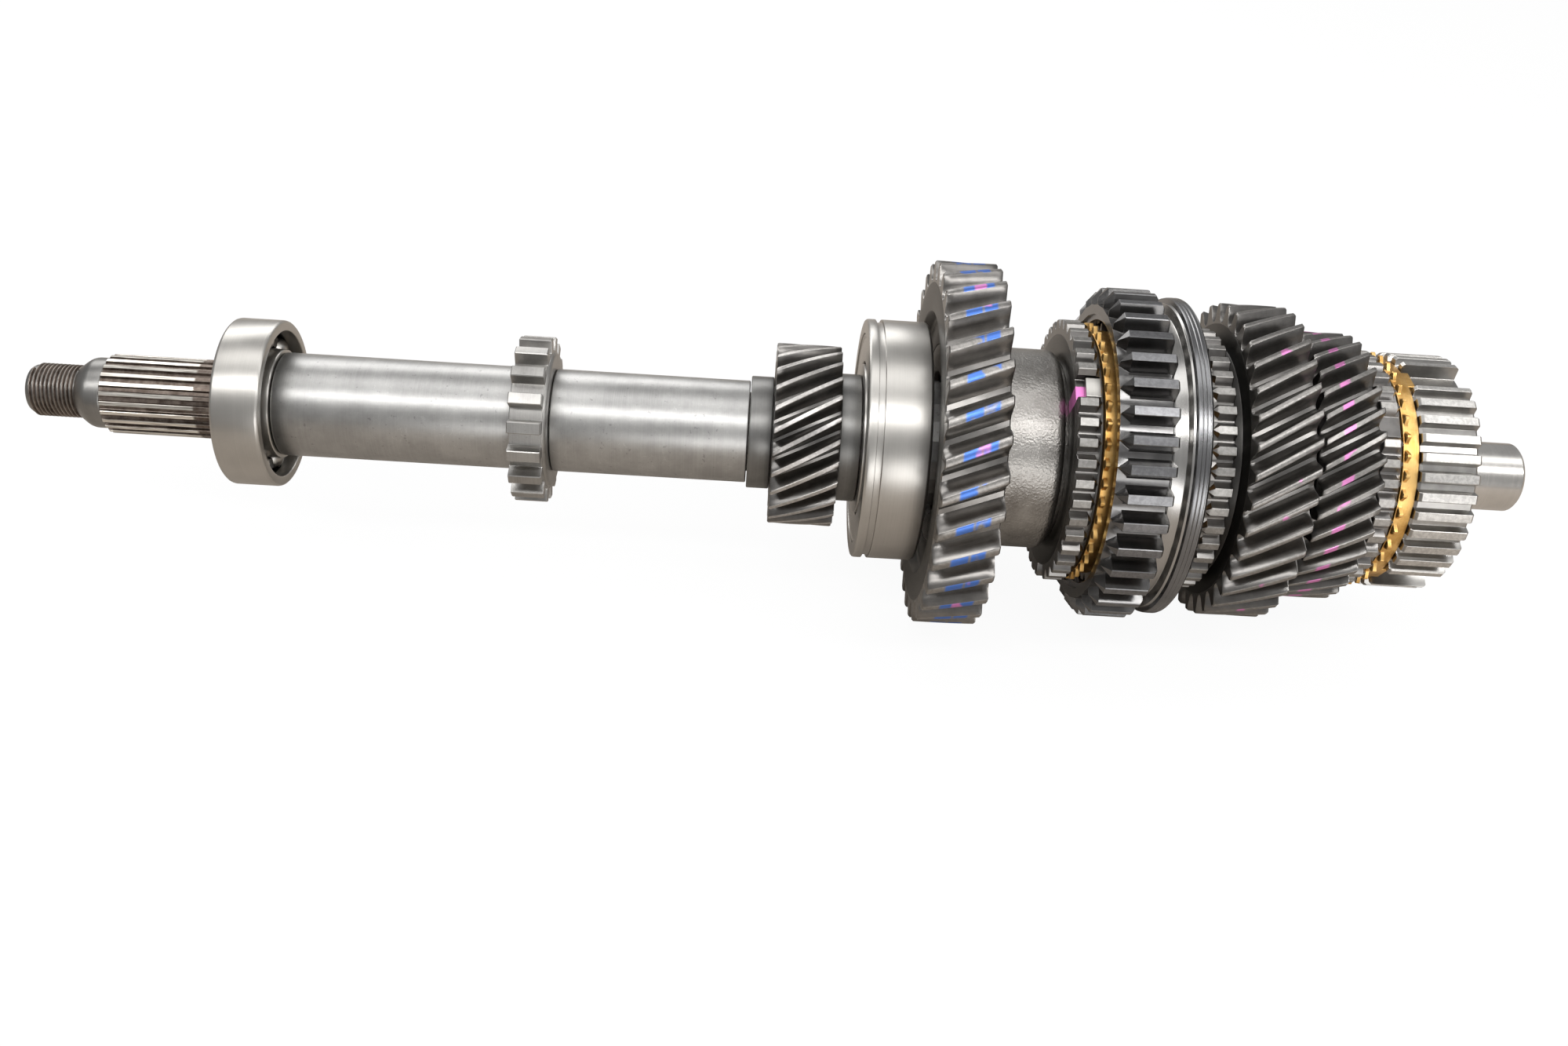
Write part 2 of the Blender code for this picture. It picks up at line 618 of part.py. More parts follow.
def spacers():
    """Long sleeves, speed sensor ring, collar and thrust spacer."""
    bore = REAR_JOURNAL_RADIUS + GAP
    for name, station, length, radius in (
        ("rear_spacer_sleeve", X_REAR_SLEEVE, REAR_SLEEVE_LENGTH, LONG_SLEEVE_RADIUS),
        ("front_spacer_sleeve", X_FRONT_SLEEVE, FRONT_SLEEVE_LENGTH, LONG_SLEEVE_RADIUS),
        ("spacer_collar", X_COLLAR, COLLAR_WIDTH, COLLAR_RADIUS),
    ):
        ring(name, length, bore, radius, SATIN, station, SHAFT_STEPS)
    ring(
        "thrust_spacer", THRUST_SPACER_WIDTH, FIFTH_JOURNAL_RADIUS + GAP, THRUST_SPACER_RADIUS, SATIN,
        X_THRUST_SPACER, SHAFT_STEPS,
    )


def speed_sensor_ring():
    """Coarse straight teeth on a disc, with a low boss on its right face."""
    teeth = tooth_outline(SENSOR_TEETH, SENSOR_TIP_RADIUS, SENSOR_ROOT_RADIUS, 0.36, 0.42)
    disc = toothed(
        "speed_sensor_ring", [(0.0, 0.0, teeth), (SENSOR_RING_WIDTH, 0.0, teeth)], SATIN, X_SENSOR,
        SENSOR_PHASE,
    )
    boss = turned(
        "sensor_boss",
        [
            (SENSOR_RING_WIDTH / 2, 0.0),
            (SENSOR_RING_WIDTH / 2, SENSOR_ROOT_RADIUS - GAP),
            (SENSOR_RING_WIDTH, SENSOR_ROOT_RADIUS - GAP),
            (SENSOR_RING_WIDTH + SENSOR_BOSS_WIDTH, SENSOR_ROOT_RADIUS - SENSOR_BOSS_WIDTH),
            (SENSOR_RING_WIDTH + SENSOR_BOSS_WIDTH, 0.0),
        ],
        None, X_SENSOR,
    )
    combine(disc, boss, "UNION")
    hole = rod(
        "sensor_bore", SENSOR_RING_WIDTH + SENSOR_BOSS_WIDTH + 2 * GAP, REAR_JOURNAL_RADIUS + GAP,
        X_SENSOR - GAP, SHAFT_STEPS,
    )
    combine(disc, hole, "DIFFERENCE")


def fifth_gear():
    """Fifth gear, fixed on the shaft."""
    gear = gear_rim(
        "fifth_gear", FIFTH_GEAR_TEETH, FIFTH_GEAR_RADIUS, FIFTH_GEAR_DEPTH, FIFTH_GEAR_WIDTH,
        FIFTH_GEAR_HELIX, GEAR, X_FIFTH,
    )
    hole = rod(
        "fifth_bore", FIFTH_GEAR_WIDTH + 2 * GAP, FIFTH_JOURNAL_RADIUS + GAP, X_FIFTH - GAP, SHAFT_STEPS,
    )
    combine(gear, hole, "DIFFERENCE")


def centre_bearing():
    """Centre ball bearing, with a snap-ring groove and a shield on its left face."""
    seat = SHIELD_RADIUS + GAP
    seat_depth = SHIELD_SEAT + SHIELD_THICKNESS + GAP
    ball_bearing(
        "centre_bearing", X_CENTRE_BEARING, CENTRE_JOURNAL_RADIUS + GAP, CENTRE_BEARING_RADIUS,
        CENTRE_BEARING_WIDTH, CENTRE_INNER_RING_RADIUS, CENTRE_OUTER_RING_BORE, CENTRE_BALL_RADIUS,
        CENTRE_BALL_COUNT, 0.0,
        {
            "bore_steps": [(0.0, seat), (seat_depth, seat), (seat_depth, CENTRE_OUTER_RING_BORE)],
            "rim_steps": [
                (SNAP_GROOVE_OFFSET + SNAP_GROOVE_WIDTH, CENTRE_BEARING_RADIUS),
                (SNAP_GROOVE_OFFSET + SNAP_GROOVE_WIDTH, CENTRE_BEARING_RADIUS - SNAP_GROOVE_DEPTH),
                (SNAP_GROOVE_OFFSET, CENTRE_BEARING_RADIUS - SNAP_GROOVE_DEPTH),
                (SNAP_GROOVE_OFFSET, CENTRE_BEARING_RADIUS),
            ],
        },
    )
    ring(
        "centre_bearing_shield", SHIELD_THICKNESS, SHIELD_BORE, SHIELD_RADIUS, STEEL,
        X_CENTRE_BEARING + SHIELD_SEAT,
    )


def first_gear():
    """First gear's toothed rim, recessed on its left face. It sits on the gear's hub."""
    gear = gear_rim(
        "first_gear", FIRST_GEAR_TEETH, FIRST_GEAR_RADIUS, FIRST_GEAR_DEPTH, FIRST_GEAR_WIDTH,
        FIRST_GEAR_HELIX, GEAR, X_FIRST_GEAR,
    )
    seat = FIRST_SEAT_RADIUS + GAP
    hollow = turned(
        "first_gear_bore",
        [
            (-GAP, 0.0),
            (-GAP, FIRST_RECESS_RADIUS),
            (FIRST_RECESS_DEPTH, FIRST_RECESS_RADIUS),
            (FIRST_RECESS_DEPTH, seat),
            (FIRST_GEAR_WIDTH + GAP, seat),
            (FIRST_GEAR_WIDTH + GAP, 0.0),
        ],
        None, X_FIRST_GEAR,
    )
    combine(gear, hollow, "DIFFERENCE")


def first_gear_hub():
    """First gear's hub and blasted neck, with its needle cage and the bush that both run on."""
    length = X_FIRST_HUB - GAP - X_FIRST_GEAR
    start = FIRST_RECESS_DEPTH
    shoulder = FIRST_GEAR_WIDTH + GAP
    x_groove = FIRST_GEAR_WIDTH + FIRST_NECK_LENGTH
    needle_cage(
        "first_needle_cage", FIRST_BUSH_RADIUS, length - start - 2 * CAGE_WALL,
        X_FIRST_GEAR + start + CAGE_WALL,
    )
    turned(
        "first_gear_hub",
        [
            (start, FIRST_BORE_RADIUS),
            (start, FIRST_SEAT_RADIUS),
            (shoulder, FIRST_SEAT_RADIUS),
            (shoulder, FIRST_NECK_RADIUS + FIRST_NECK_FILLET),
            (shoulder + FIRST_NECK_FILLET, FIRST_NECK_RADIUS),
            (x_groove - FIRST_NECK_FILLET, FIRST_NECK_RADIUS),
            (x_groove - FIRST_NECK_FILLET * 0.3, FIRST_NECK_RADIUS - FIRST_NECK_FILLET * 0.35),
            (x_groove, FIRST_GROOVE_RADIUS),
            (length, FIRST_GROOVE_RADIUS),
            (length, FIRST_BORE_RADIUS),
        ],
        GEAR, X_FIRST_GEAR,
    )
    ring(
        "first_gear_bush", X_FIRST_HUB - GAP - X_FIRST_BUSH, CENTRE_JOURNAL_RADIUS + GAP,
        FIRST_BUSH_RADIUS, SATIN, X_FIRST_BUSH, SHAFT_STEPS,
    )


def first_clutch_ring():
    """First gear's clutch teeth and cone, as a ring on the end of its hub."""
    length = X_FIRST_HUB - GAP - X_FIRST_CLUTCH
    notches = notched_teeth(CLUTCH_TEETH)
    full = clutch_outline(
        CLUTCH_TEETH, CLUTCH_TIP_RADIUS, CLUTCH_ROOT_RADIUS, CLUTCH_LAND, notches, NOTCH_FLOOR_RADIUS,
    )
    point = clutch_outline(
        CLUTCH_TEETH, CLUTCH_TIP_RADIUS, CLUTCH_ROOT_RADIUS, 0.0, notches, NOTCH_FLOOR_RADIUS,
    )
    clutch = toothed(
        "first_clutch_ring",
        [
            (0.0, 0.0, full),
            (FIRST_CLUTCH_WIDTH - CLUTCH_POINT, 0.0, full),
            (FIRST_CLUTCH_WIDTH, 0.0, point),
        ],
        GEAR, X_FIRST_CLUTCH, CLUTCH_PHASE,
    )
    cone = turned(
        "first_cone",
        [
            (FIRST_CLUTCH_WIDTH / 2, 0.0),
            (FIRST_CLUTCH_WIDTH / 2, CONE_RADIUS),
            (FIRST_CLUTCH_WIDTH, CONE_RADIUS),
            (length, CONE_RADIUS - (length - FIRST_CLUTCH_WIDTH) * CONE_TAPER),
            (length, 0.0),
        ],
        None, X_FIRST_CLUTCH,
    )
    combine(clutch, cone, "UNION")
    hole = rod("first_clutch_bore", length + 2 * GAP, FIRST_GROOVE_RADIUS + GAP, X_FIRST_CLUTCH - GAP)
    combine(clutch, hole, "DIFFERENCE")


def first_cone_ring():
    """Steel cone ring. Its lugs sit in the notches of the first gear's clutch teeth."""
    low = CONE_RADIUS + CONE_GAP
    high = low + CONE_RING_WALL
    length = X_FIRST_HUB - 2 * GAP - X_CONE_RING
    outline = [
        (0.0, low),
        (0.0, CLUTCH_ROOT_RADIUS),
        (CONE_RING_FLANGE, CLUTCH_ROOT_RADIUS),
        (CONE_RING_FLANGE, high - CONE_RING_FLANGE * CONE_TAPER),
        (length, high - length * CONE_TAPER),
        (length, low - length * CONE_TAPER),
    ]
    cone = turned("first_cone_ring", outline, STEEL, X_CONE_RING)
    lug_angles = [2 * math.pi * i / CLUTCH_TEETH for i in notched_teeth(CLUTCH_TEETH)]
    lugs = blocks(
        "cone_lugs", lug_angles, -CONE_LUG_LENGTH, CONE_RING_FLANGE / 2, NOTCH_FLOOR_RADIUS + GAP,
        CLUTCH_ROOT_RADIUS, LUG_WIDTH, X_CONE_RING, CLUTCH_PHASE,
    )
    combine(cone, lugs, "UNION")


def synchro_ring(name, station, lengthways, width, setback, teeth, tip, root, cone, slot_width, phase, slot_phase):
    """A brass synchro ring: band, clutch teeth by its gear side, lugs in the hub's slots, cone bore.

    Its station is its gear side, and lengthways is 1 or -1, the way from there to the hub.
    """

    def along(x):
        return lengthways * x

    band_radius = root - GAP
    outline = [
        (along(0.0), cone - SYNCHRO_GROOVE_WALL),
        (along(0.0), band_radius),
        (along(width), band_radius),
        (along(width), cone - SYNCHRO_GROOVE_WALL),
    ]
    band = turned(name, outline, BRASS, station)
    start = along(setback)
    end = along(setback + SYNCHRO_TOOTH_WIDTH)
    pointed = clutch_outline(teeth, tip - GAP, root, 0.0)
    small_teeth = toothed(f"{name}_teeth", [(start, 0.0, pointed), (end, 0.0, pointed)], None, station, phase)
    combine(band, small_teeth, "UNION")
    lugs = blocks(
        f"{name}_lugs", even(LUG_COUNT), along(width / 2), along(width + SYNCHRO_LUG_LENGTH),
        band_radius - SYNCHRO_LUG_DEPTH, band_radius - GAP, slot_width - 4 * GAP, station, slot_phase,
    )
    combine(band, lugs, "UNION")
    wide = along(-GAP)
    narrow = along(width + SYNCHRO_LUG_LENGTH + GAP)
    taper = (width + SYNCHRO_LUG_LENGTH + GAP) * CONE_TAPER
    bore = turned(
        f"{name}_cone", [(wide, 0.0), (wide, cone), (narrow, cone - taper), (narrow, 0.0)],
        None, station,
    )
    combine(band, bore, "DIFFERENCE")


def hub(name, outline, width, recesses, bore, slot_width, slot_floor, station, phase, slot_phase):
    """A splined hub with recessed faces and three key slots. Each recess is (x, depth, bore, radius)."""
    body = toothed(name, [(0.0, 0.0, outline), (width, 0.0, outline)], STEEL, station, phase)
    tip = max(radius for radius, _ in outline)
    hole = rod(f"{name}_bore", width + 2 * GAP, bore, station - GAP, SHAFT_STEPS)
    combine(body, hole, "DIFFERENCE")
    for x, depth, low, high in recesses:
        recess = ring(f"{name}_recess", depth, low, high, None, station + x, SHAFT_STEPS)
        combine(body, recess, "DIFFERENCE")
    slots = blocks(
        f"{name}_slots", even(LUG_COUNT), -GAP, width + GAP, slot_floor, tip + slot_width, slot_width, station,
        slot_phase,
    )
    combine(body, slots, "DIFFERENCE")


def first_second_hub():
    """1-2 hub with its shifting keys and key springs."""
    splines = clutch_outline(CLUTCH_TEETH, CLUTCH_TIP_RADIUS, CLUTCH_ROOT_RADIUS, CLUTCH_LAND)
    slot_phase = CLUTCH_PHASE + math.pi / LUG_COUNT
    depth = HUB_RECESS_DEPTH
    recesses = [
        (-GAP, depth + GAP, HUB_RECESS_BORE, HUB_RECESS_RADIUS),
        (FIRST_HUB_WIDTH - depth, depth + GAP, HUB_RECESS_BORE, HUB_RECESS_RADIUS),
    ]
    hub(
        "hub_1_2", splines, FIRST_HUB_WIDTH, recesses, FIRST_HUB_JOURNAL_RADIUS + GAP, KEY_SLOT_WIDTH,
        KEY_SLOT_FLOOR, X_FIRST_HUB, CLUTCH_PHASE, slot_phase,
    )
    key_half = FIRST_HUB_WIDTH / 2 - SYNCHRO_LUG_LENGTH - KEY_END_GAP
    key_low = KEY_SLOT_FLOOR + GAP
    for i in range(LUG_COUNT):
        bm = bmesh.new()
        bmesh.ops.create_cube(bm, size=1.0)
        for corner in bm.verts:
            corner.co.x *= 2 * key_half
            corner.co.y = key_low + (corner.co.y + 0.5) * KEY_HEIGHT
            corner.co.z *= KEY_SLOT_WIDTH - 2 * GAP
        top = next(face for face in bm.faces if face.normal.y > 0.5)
        grown = bmesh.ops.inset_region(bm, faces=[top], thickness=KEY_HUMP_HEIGHT)
        for corner in top.verts:
            corner.co.x = math.copysign(KEY_HUMP_LENGTH / 2, corner.co.x)
            corner.co.y += KEY_HUMP_HEIGHT
        bmesh.ops.recalc_face_normals(bm, faces=bm.faces)
        mesh = bpy.data.meshes.new("shifting_key")
        bm.to_mesh(mesh)
        bm.free()
        place(
            f"shifting_key_{i + 1}", mesh, STEEL, FIRST_HUB_MIDDLE,
            slot_phase + 2 * math.pi * i / LUG_COUNT,
        )
    spring_radius = key_low - GAP - SPRING_WIRE_RADIUS
    wire = [
        (SPRING_WIRE_RADIUS * math.cos(a), spring_radius + SPRING_WIRE_RADIUS * math.sin(a))
        for a in even(4)
    ]
    inset = HUB_RECESS_DEPTH - GAP - SPRING_WIRE_RADIUS
    open_ring("key_spring_1", wire, SPRING_OPENING, CAGE, X_FIRST_HUB + inset, slot_phase)
    open_ring(
        "key_spring_2", wire, SPRING_OPENING, CAGE, X_FIRST_HUB + FIRST_HUB_WIDTH - inset,
        slot_phase + math.pi / LUG_COUNT,
    )


def sliding_sleeve():
    """1-2 sliding sleeve: reverse gear teeth and fork flange outside, clutch splines inside."""
    station = FIRST_HUB_MIDDLE - SLEEVE_LENGTH / 2
    root = SLEEVE_GROOVE_RADIUS + SLEEVE_TOOTH_FOOT
    full = tooth_outline(SLEEVE_TEETH, root + SLEEVE_TOOTH_DEPTH, root, 0.36, 0.60)
    point = tooth_outline(SLEEVE_TEETH, root + SLEEVE_TOOTH_DEPTH * 0.35, root, 0.0, 0.10)
    sleeve = toothed(
        "sleeve_1_2",
        [(0.0, 0.0, point), (SLEEVE_POINT, 0.0, full), (SLEEVE_TOOTH_LENGTH, 0.0, full)],
        DARK, station,
    )
    flange_start = SLEEVE_LENGTH - SLEEVE_FLANGE_WIDTH
    body = turned(
        "sleeve_body",
        [
            (SLEEVE_TOOTH_LENGTH / 2, 0.0),
            (SLEEVE_TOOTH_LENGTH / 2, SLEEVE_GROOVE_RADIUS),
            (flange_start, SLEEVE_GROOVE_RADIUS),
            (flange_start, SLEEVE_GROOVE_RADIUS + SLEEVE_FLANGE_HEIGHT),
            (SLEEVE_LENGTH, SLEEVE_GROOVE_RADIUS + SLEEVE_FLANGE_HEIGHT),
            (SLEEVE_LENGTH, 0.0),
        ],
        None, station, FINE_STEPS,
    )
    combine(sleeve, body, "UNION")
    tip = CLUTCH_TIP_RADIUS + FLANK_GAP
    valley = CLUTCH_ROOT_RADIUS + FLANK_GAP
    splines = clutch_outline(CLUTCH_TEETH, tip, valley, CLUTCH_LAND)
    hole = toothed(
        "sleeve_splines",
        [(-GAP, 0.0, splines), (SLEEVE_LENGTH + GAP, 0.0, splines)],
        None, station, CLUTCH_PHASE,
    )
    combine(sleeve, hole, "DIFFERENCE")


def second_gear():
    """Second gear, with its clutch teeth and cone to the left."""
    start = X_SECOND_SYNCHRO
    x_clutch = X_SECOND_CLUTCH - start
    x_groove = x_clutch + SECOND_CLUTCH_WIDTH
    x_rim = X_SECOND_GEAR - start
    length = x_rim + SECOND_GEAR_WIDTH
    gear = gear_rim(
        "second_gear", SECOND_GEAR_TEETH, SECOND_GEAR_RADIUS, SECOND_GEAR_DEPTH, SECOND_GEAR_WIDTH,
        SECOND_GEAR_HELIX, GEAR, X_SECOND_GEAR,
    )
    cone = SYNCHRO_CONE_RADIUS - CONE_GAP
    body = turned(
        "second_gear_body",
        [
            (0.0, 0.0),
            (0.0, cone - x_clutch * CONE_TAPER),
            (x_clutch, cone),
            (x_clutch + GAP, SECOND_GROOVE_RADIUS),
            (x_rim + SECOND_GEAR_WIDTH / 2, SECOND_GROOVE_RADIUS),
            (x_rim + SECOND_GEAR_WIDTH / 2, 0.0),
        ],
        None, start,
    )
    combine(gear, body, "UNION")
    full = clutch_outline(CLUTCH_TEETH, CLUTCH_TIP_RADIUS, CLUTCH_ROOT_RADIUS, CLUTCH_LAND)
    point = clutch_outline(CLUTCH_TEETH, CLUTCH_TIP_RADIUS, CLUTCH_ROOT_RADIUS, 0.0)
    clutch = toothed(
        "second_clutch_teeth",
        [(x_clutch, 0.0, point), (x_groove, 0.0, full)], None, start, CLUTCH_PHASE,
    )
    combine(gear, clutch, "UNION")
    flange_pocket = X_FLANGE - start - 2 * GAP
    needle_cage(
        "second_needle_cage", SECOND_JOURNAL_RADIUS, flange_pocket - 2 * CAGE_WALL, start + CAGE_WALL,
    )
    hollow = turned(
        "second_gear_bore",
        [
            (-GAP, 0.0),
            (-GAP, SECOND_BORE_RADIUS),
            (flange_pocket, SECOND_BORE_RADIUS),
            (flange_pocket, THRUST_FLANGE_RADIUS + 2 * GAP),
            (length + GAP, THRUST_FLANGE_RADIUS + 2 * GAP),
            (length + GAP, 0.0),
        ],
        None, start,
    )
    combine(gear, hollow, "DIFFERENCE")


def third_gear():
    """Third gear, with its clutch teeth and cone to the right."""
    x_clutch = THIRD_GEAR_WIDTH
    x_cone = x_clutch + THIRD_CLUTCH_WIDTH
    length = X_FRONT_HUB - GAP - X_THIRD_GEAR
    gear = gear_rim(
        "third_gear", THIRD_GEAR_TEETH, THIRD_GEAR_RADIUS, THIRD_GEAR_DEPTH, THIRD_GEAR_WIDTH,
        THIRD_GEAR_HELIX, GEAR, X_THIRD_GEAR,
    )
    body = turned(
        "third_gear_body",
        [
            (THIRD_GEAR_WIDTH / 2, 0.0),
            (THIRD_GEAR_WIDTH / 2, FRONT_CONE_RADIUS),
            (x_cone, FRONT_CONE_RADIUS),
            (length, FRONT_CONE_RADIUS - (length - x_cone) * CONE_TAPER),
            (length, 0.0),
        ],
        None, X_THIRD_GEAR,
    )
    combine(gear, body, "UNION")
    floor = FRONT_CLUTCH_ROOT_RADIUS - 2 * GAP
    full = clutch_outline(
        FRONT_CLUTCH_TEETH, FRONT_CLUTCH_TIP_RADIUS, FRONT_CLUTCH_ROOT_RADIUS, FRONT_CLUTCH_LAND,
        notched_teeth(FRONT_CLUTCH_TEETH), floor,
    )
    point = clutch_outline(
        FRONT_CLUTCH_TEETH, FRONT_CLUTCH_TIP_RADIUS, FRONT_CLUTCH_ROOT_RADIUS, 0.0,
        notched_teeth(FRONT_CLUTCH_TEETH), floor,
    )
    clutch = toothed(
        "third_clutch_teeth",
        [(x_clutch + GAP, 0.0, full), (x_cone, 0.0, point)], None, X_THIRD_GEAR, THIRD_CLUTCH_PHASE,
    )
    combine(gear, clutch, "UNION")
    flange_pocket = X_FLANGE + THRUST_FLANGE_WIDTH - X_THIRD_GEAR + 2 * GAP
    needle_cage(
        "third_needle_cage", THIRD_JOURNAL_RADIUS, length - flange_pocket - 2 * CAGE_WALL,
        X_THIRD_GEAR + flange_pocket + CAGE_WALL,
    )
    hollow = turned(
        "third_gear_bore",
        [
            (-GAP, 0.0),
            (-GAP, THRUST_FLANGE_RADIUS + 2 * GAP),
            (flange_pocket, THRUST_FLANGE_RADIUS + 2 * GAP),
            (flange_pocket, THIRD_BORE_RADIUS),
            (length + GAP, THIRD_BORE_RADIUS),
            (length + GAP, 0.0),
        ],
        None, X_THIRD_GEAR,
    )
    combine(gear, hollow, "DIFFERENCE")


def synchro_rings():
    """The three brass synchro rings."""
    slot_phase = CLUTCH_PHASE + math.pi / LUG_COUNT
    for name, station, lengthways, width, setback in (
        ("first_synchro_ring", X_FIRST_SYNCHRO, 1, SYNCHRO_WIDTH, SYNCHRO_TOOTH_SETBACK),
        (
            "second_synchro_ring", X_SECOND_SYNCHRO + SECOND_SYNCHRO_WIDTH, -1, SECOND_SYNCHRO_WIDTH,
            SECOND_SYNCHRO_SETBACK,
        ),
    ):
        synchro_ring(
            name, station, lengthways, width, setback, CLUTCH_TEETH, CLUTCH_TIP_RADIUS,
            CLUTCH_ROOT_RADIUS, SYNCHRO_CONE_RADIUS, KEY_SLOT_WIDTH, CLUTCH_PHASE, slot_phase,
        )
    synchro_ring(
        "third_synchro_ring", X_THIRD_SYNCHRO, 1, SYNCHRO_WIDTH, SYNCHRO_TOOTH_SETBACK,
        FRONT_CLUTCH_TEETH, FRONT_CLUTCH_TIP_RADIUS, FRONT_CLUTCH_ROOT_RADIUS,
        FRONT_CONE_RADIUS + CONE_GAP, FRONT_SLOT_WIDTH, FRONT_HUB_PHASE, FRONT_HUB_PHASE,
    )


def third_fourth_hub():
    """3-4 hub and the snap ring that holds it. Its sleeve and keys are not fitted."""
    splines = clutch_outline(
        FRONT_CLUTCH_TEETH, FRONT_HUB_RADIUS, FRONT_HUB_RADIUS - FRONT_HUB_DEPTH, FRONT_CLUTCH_LAND,
    )
    depth = FRONT_HUB_RECESS_DEPTH
    recesses = [(FRONT_HUB_WIDTH - depth, depth + GAP, FRONT_HUB_RECESS_BORE, FRONT_HUB_RECESS_RADIUS)]
    hub(
        "hub_3_4", splines, FRONT_HUB_WIDTH, recesses, FRONT_HUB_JOURNAL_RADIUS + GAP, FRONT_SLOT_WIDTH,
        FRONT_SLOT_FLOOR, X_FRONT_HUB, FRONT_HUB_PHASE, FRONT_HUB_PHASE,
    )
    section = [
        (0.0, SNAP_RING_SEAT + 2 * GAP),
        (SNAP_RING_WIDTH, SNAP_RING_SEAT + 2 * GAP),
        (SNAP_RING_WIDTH, SNAP_RING_RADIUS),
        (0.0, SNAP_RING_RADIUS),
    ]
    open_ring("hub_snap_ring", section, SNAP_RING_OPENING, CAGE, X_SNAP_RING, 0.0)


main_shaft()
rear_bearing()
spacers()
speed_sensor_ring()
fifth_gear()
centre_bearing()
first_gear()
first_gear_hub()
first_clutch_ring()
first_cone_ring()
first_second_hub()
sliding_sleeve()
second_gear()
third_gear()
synchro_rings()
third_fourth_hub()
tidy()
shade_round()
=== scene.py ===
# %% [markdown]
# # A gearbox main shaft
#
# The long shaft of a manual gearbox carries its gears, the rings that bring them up to speed, the spacers
# and two ball bearings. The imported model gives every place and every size. This lesson dresses it: round
# pieces are turned on a lathe, toothed pieces are made from one tooth, and steel and brass get the marks
# that grinding, shot blasting, oil and wear leave on them.

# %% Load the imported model
import math

import bmesh
import bpy
from mathutils import Matrix, Vector


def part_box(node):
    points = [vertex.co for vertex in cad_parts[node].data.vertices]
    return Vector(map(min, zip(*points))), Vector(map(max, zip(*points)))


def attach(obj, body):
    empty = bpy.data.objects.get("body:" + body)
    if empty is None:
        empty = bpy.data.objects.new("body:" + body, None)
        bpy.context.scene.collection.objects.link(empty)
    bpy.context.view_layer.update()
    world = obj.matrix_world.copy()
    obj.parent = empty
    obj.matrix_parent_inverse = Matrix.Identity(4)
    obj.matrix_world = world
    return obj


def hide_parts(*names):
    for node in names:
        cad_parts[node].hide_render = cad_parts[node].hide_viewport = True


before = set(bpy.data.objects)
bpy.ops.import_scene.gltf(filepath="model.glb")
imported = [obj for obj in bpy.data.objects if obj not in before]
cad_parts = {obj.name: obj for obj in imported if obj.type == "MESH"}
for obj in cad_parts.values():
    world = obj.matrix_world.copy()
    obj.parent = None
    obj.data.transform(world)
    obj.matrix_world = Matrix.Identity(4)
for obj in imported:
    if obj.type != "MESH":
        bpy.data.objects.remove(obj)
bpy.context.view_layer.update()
MM = 0.001

# %% [markdown]
# ## The camera
#
# The picture looks down on the shaft from a little over half a metre, with a wide lens. That is why the gears
# on the right show their left faces. The camera could be placed by eye, but the bearings have known sizes, so
# their edges in the photograph give its distance, its tilt and its turn. It is built from three directions at
# right angles: right, up and ahead.

# %% Camera
DISTANCE = 536 * MM
ELEVATION = math.radians(35.0)
FOOT = -12.5 * MM
YAW = math.radians(1.6)
PITCH = math.radians(3.61)
ROLL = math.radians(3.45)
FOCAL_PIXELS = 1800
PICTURE_WIDTH = 1999
SENSOR = 36.0

right = Vector((1, 0, 0))
up = Vector((0, math.sin(ELEVATION), math.cos(ELEVATION)))
ahead = Vector((0, math.cos(ELEVATION), -math.sin(ELEVATION)))
right, ahead = (
    right * math.cos(YAW) - ahead * math.sin(YAW),
    ahead * math.cos(YAW) + right * math.sin(YAW),
)
up, ahead = (
    up * math.cos(PITCH) + ahead * math.sin(PITCH),
    ahead * math.cos(PITCH) - up * math.sin(PITCH),
)
right, up = (
    right * math.cos(ROLL) + up * math.sin(ROLL),
    up * math.cos(ROLL) - right * math.sin(ROLL),
)
lens = bpy.data.cameras.new("camera")
lens.sensor_width = SENSOR
lens.lens = FOCAL_PIXELS / PICTURE_WIDTH * SENSOR
lens.clip_start = 0.02
camera = bpy.data.objects.new("camera", lens)
camera.matrix_world = Matrix((right, up, -ahead)).transposed().to_4x4()
camera.location = (FOOT, -DISTANCE * math.cos(ELEVATION), DISTANCE * math.sin(ELEVATION))
bpy.context.scene.collection.objects.link(camera)
bpy.context.scene.camera = camera
print("lens", round(lens.lens, 2), "mm")

# %% [markdown]
# ## Modelling helpers
#
# Every new piece starts from a small plane that is merged to one point. Extruding that point draws a line,
# as a pencil would: half a section for the lathe, or the outline of one tooth. An operator works on all that
# is selected, so everything is deselected before a new piece starts, and points are then picked by their
# place.

# %% Drawing and picking
WELD = 0.000002


def fresh():
    """Leave edit mode, with nothing selected."""
    if bpy.context.object and bpy.context.object.mode != "OBJECT":
        bpy.ops.object.mode_set(mode="OBJECT")
    bpy.ops.object.select_all(action="DESELECT")


def take(piece):
    """Select one piece alone, in object mode."""
    fresh()
    piece.select_set(True)
    bpy.context.view_layer.objects.active = piece


def draw(name, points):
    """Draw a line through the points. The new piece stays in edit mode."""
    fresh()
    bpy.ops.mesh.primitive_plane_add(size=MM, location=points[0])
    piece = bpy.context.object
    piece.name = piece.data.name = name
    bpy.ops.object.transform_apply(location=True, rotation=True, scale=True)
    bpy.ops.object.mode_set(mode="EDIT")
    bpy.ops.mesh.select_mode(type="VERT")
    bpy.ops.mesh.merge(type="CENTER")
    for here, there in zip(points, points[1:]):
        bpy.ops.mesh.extrude_vertices_move(TRANSFORM_OT_translate={"value": there - here})
    return piece


def pick(piece, test):
    """Select the points whose place passes a test."""
    mesh = bmesh.from_edit_mesh(piece.data)
    for point in mesh.verts:
        point.select = bool(test(point.co))
    mesh.select_flush_mode()
    bmesh.update_edit_mesh(piece.data)


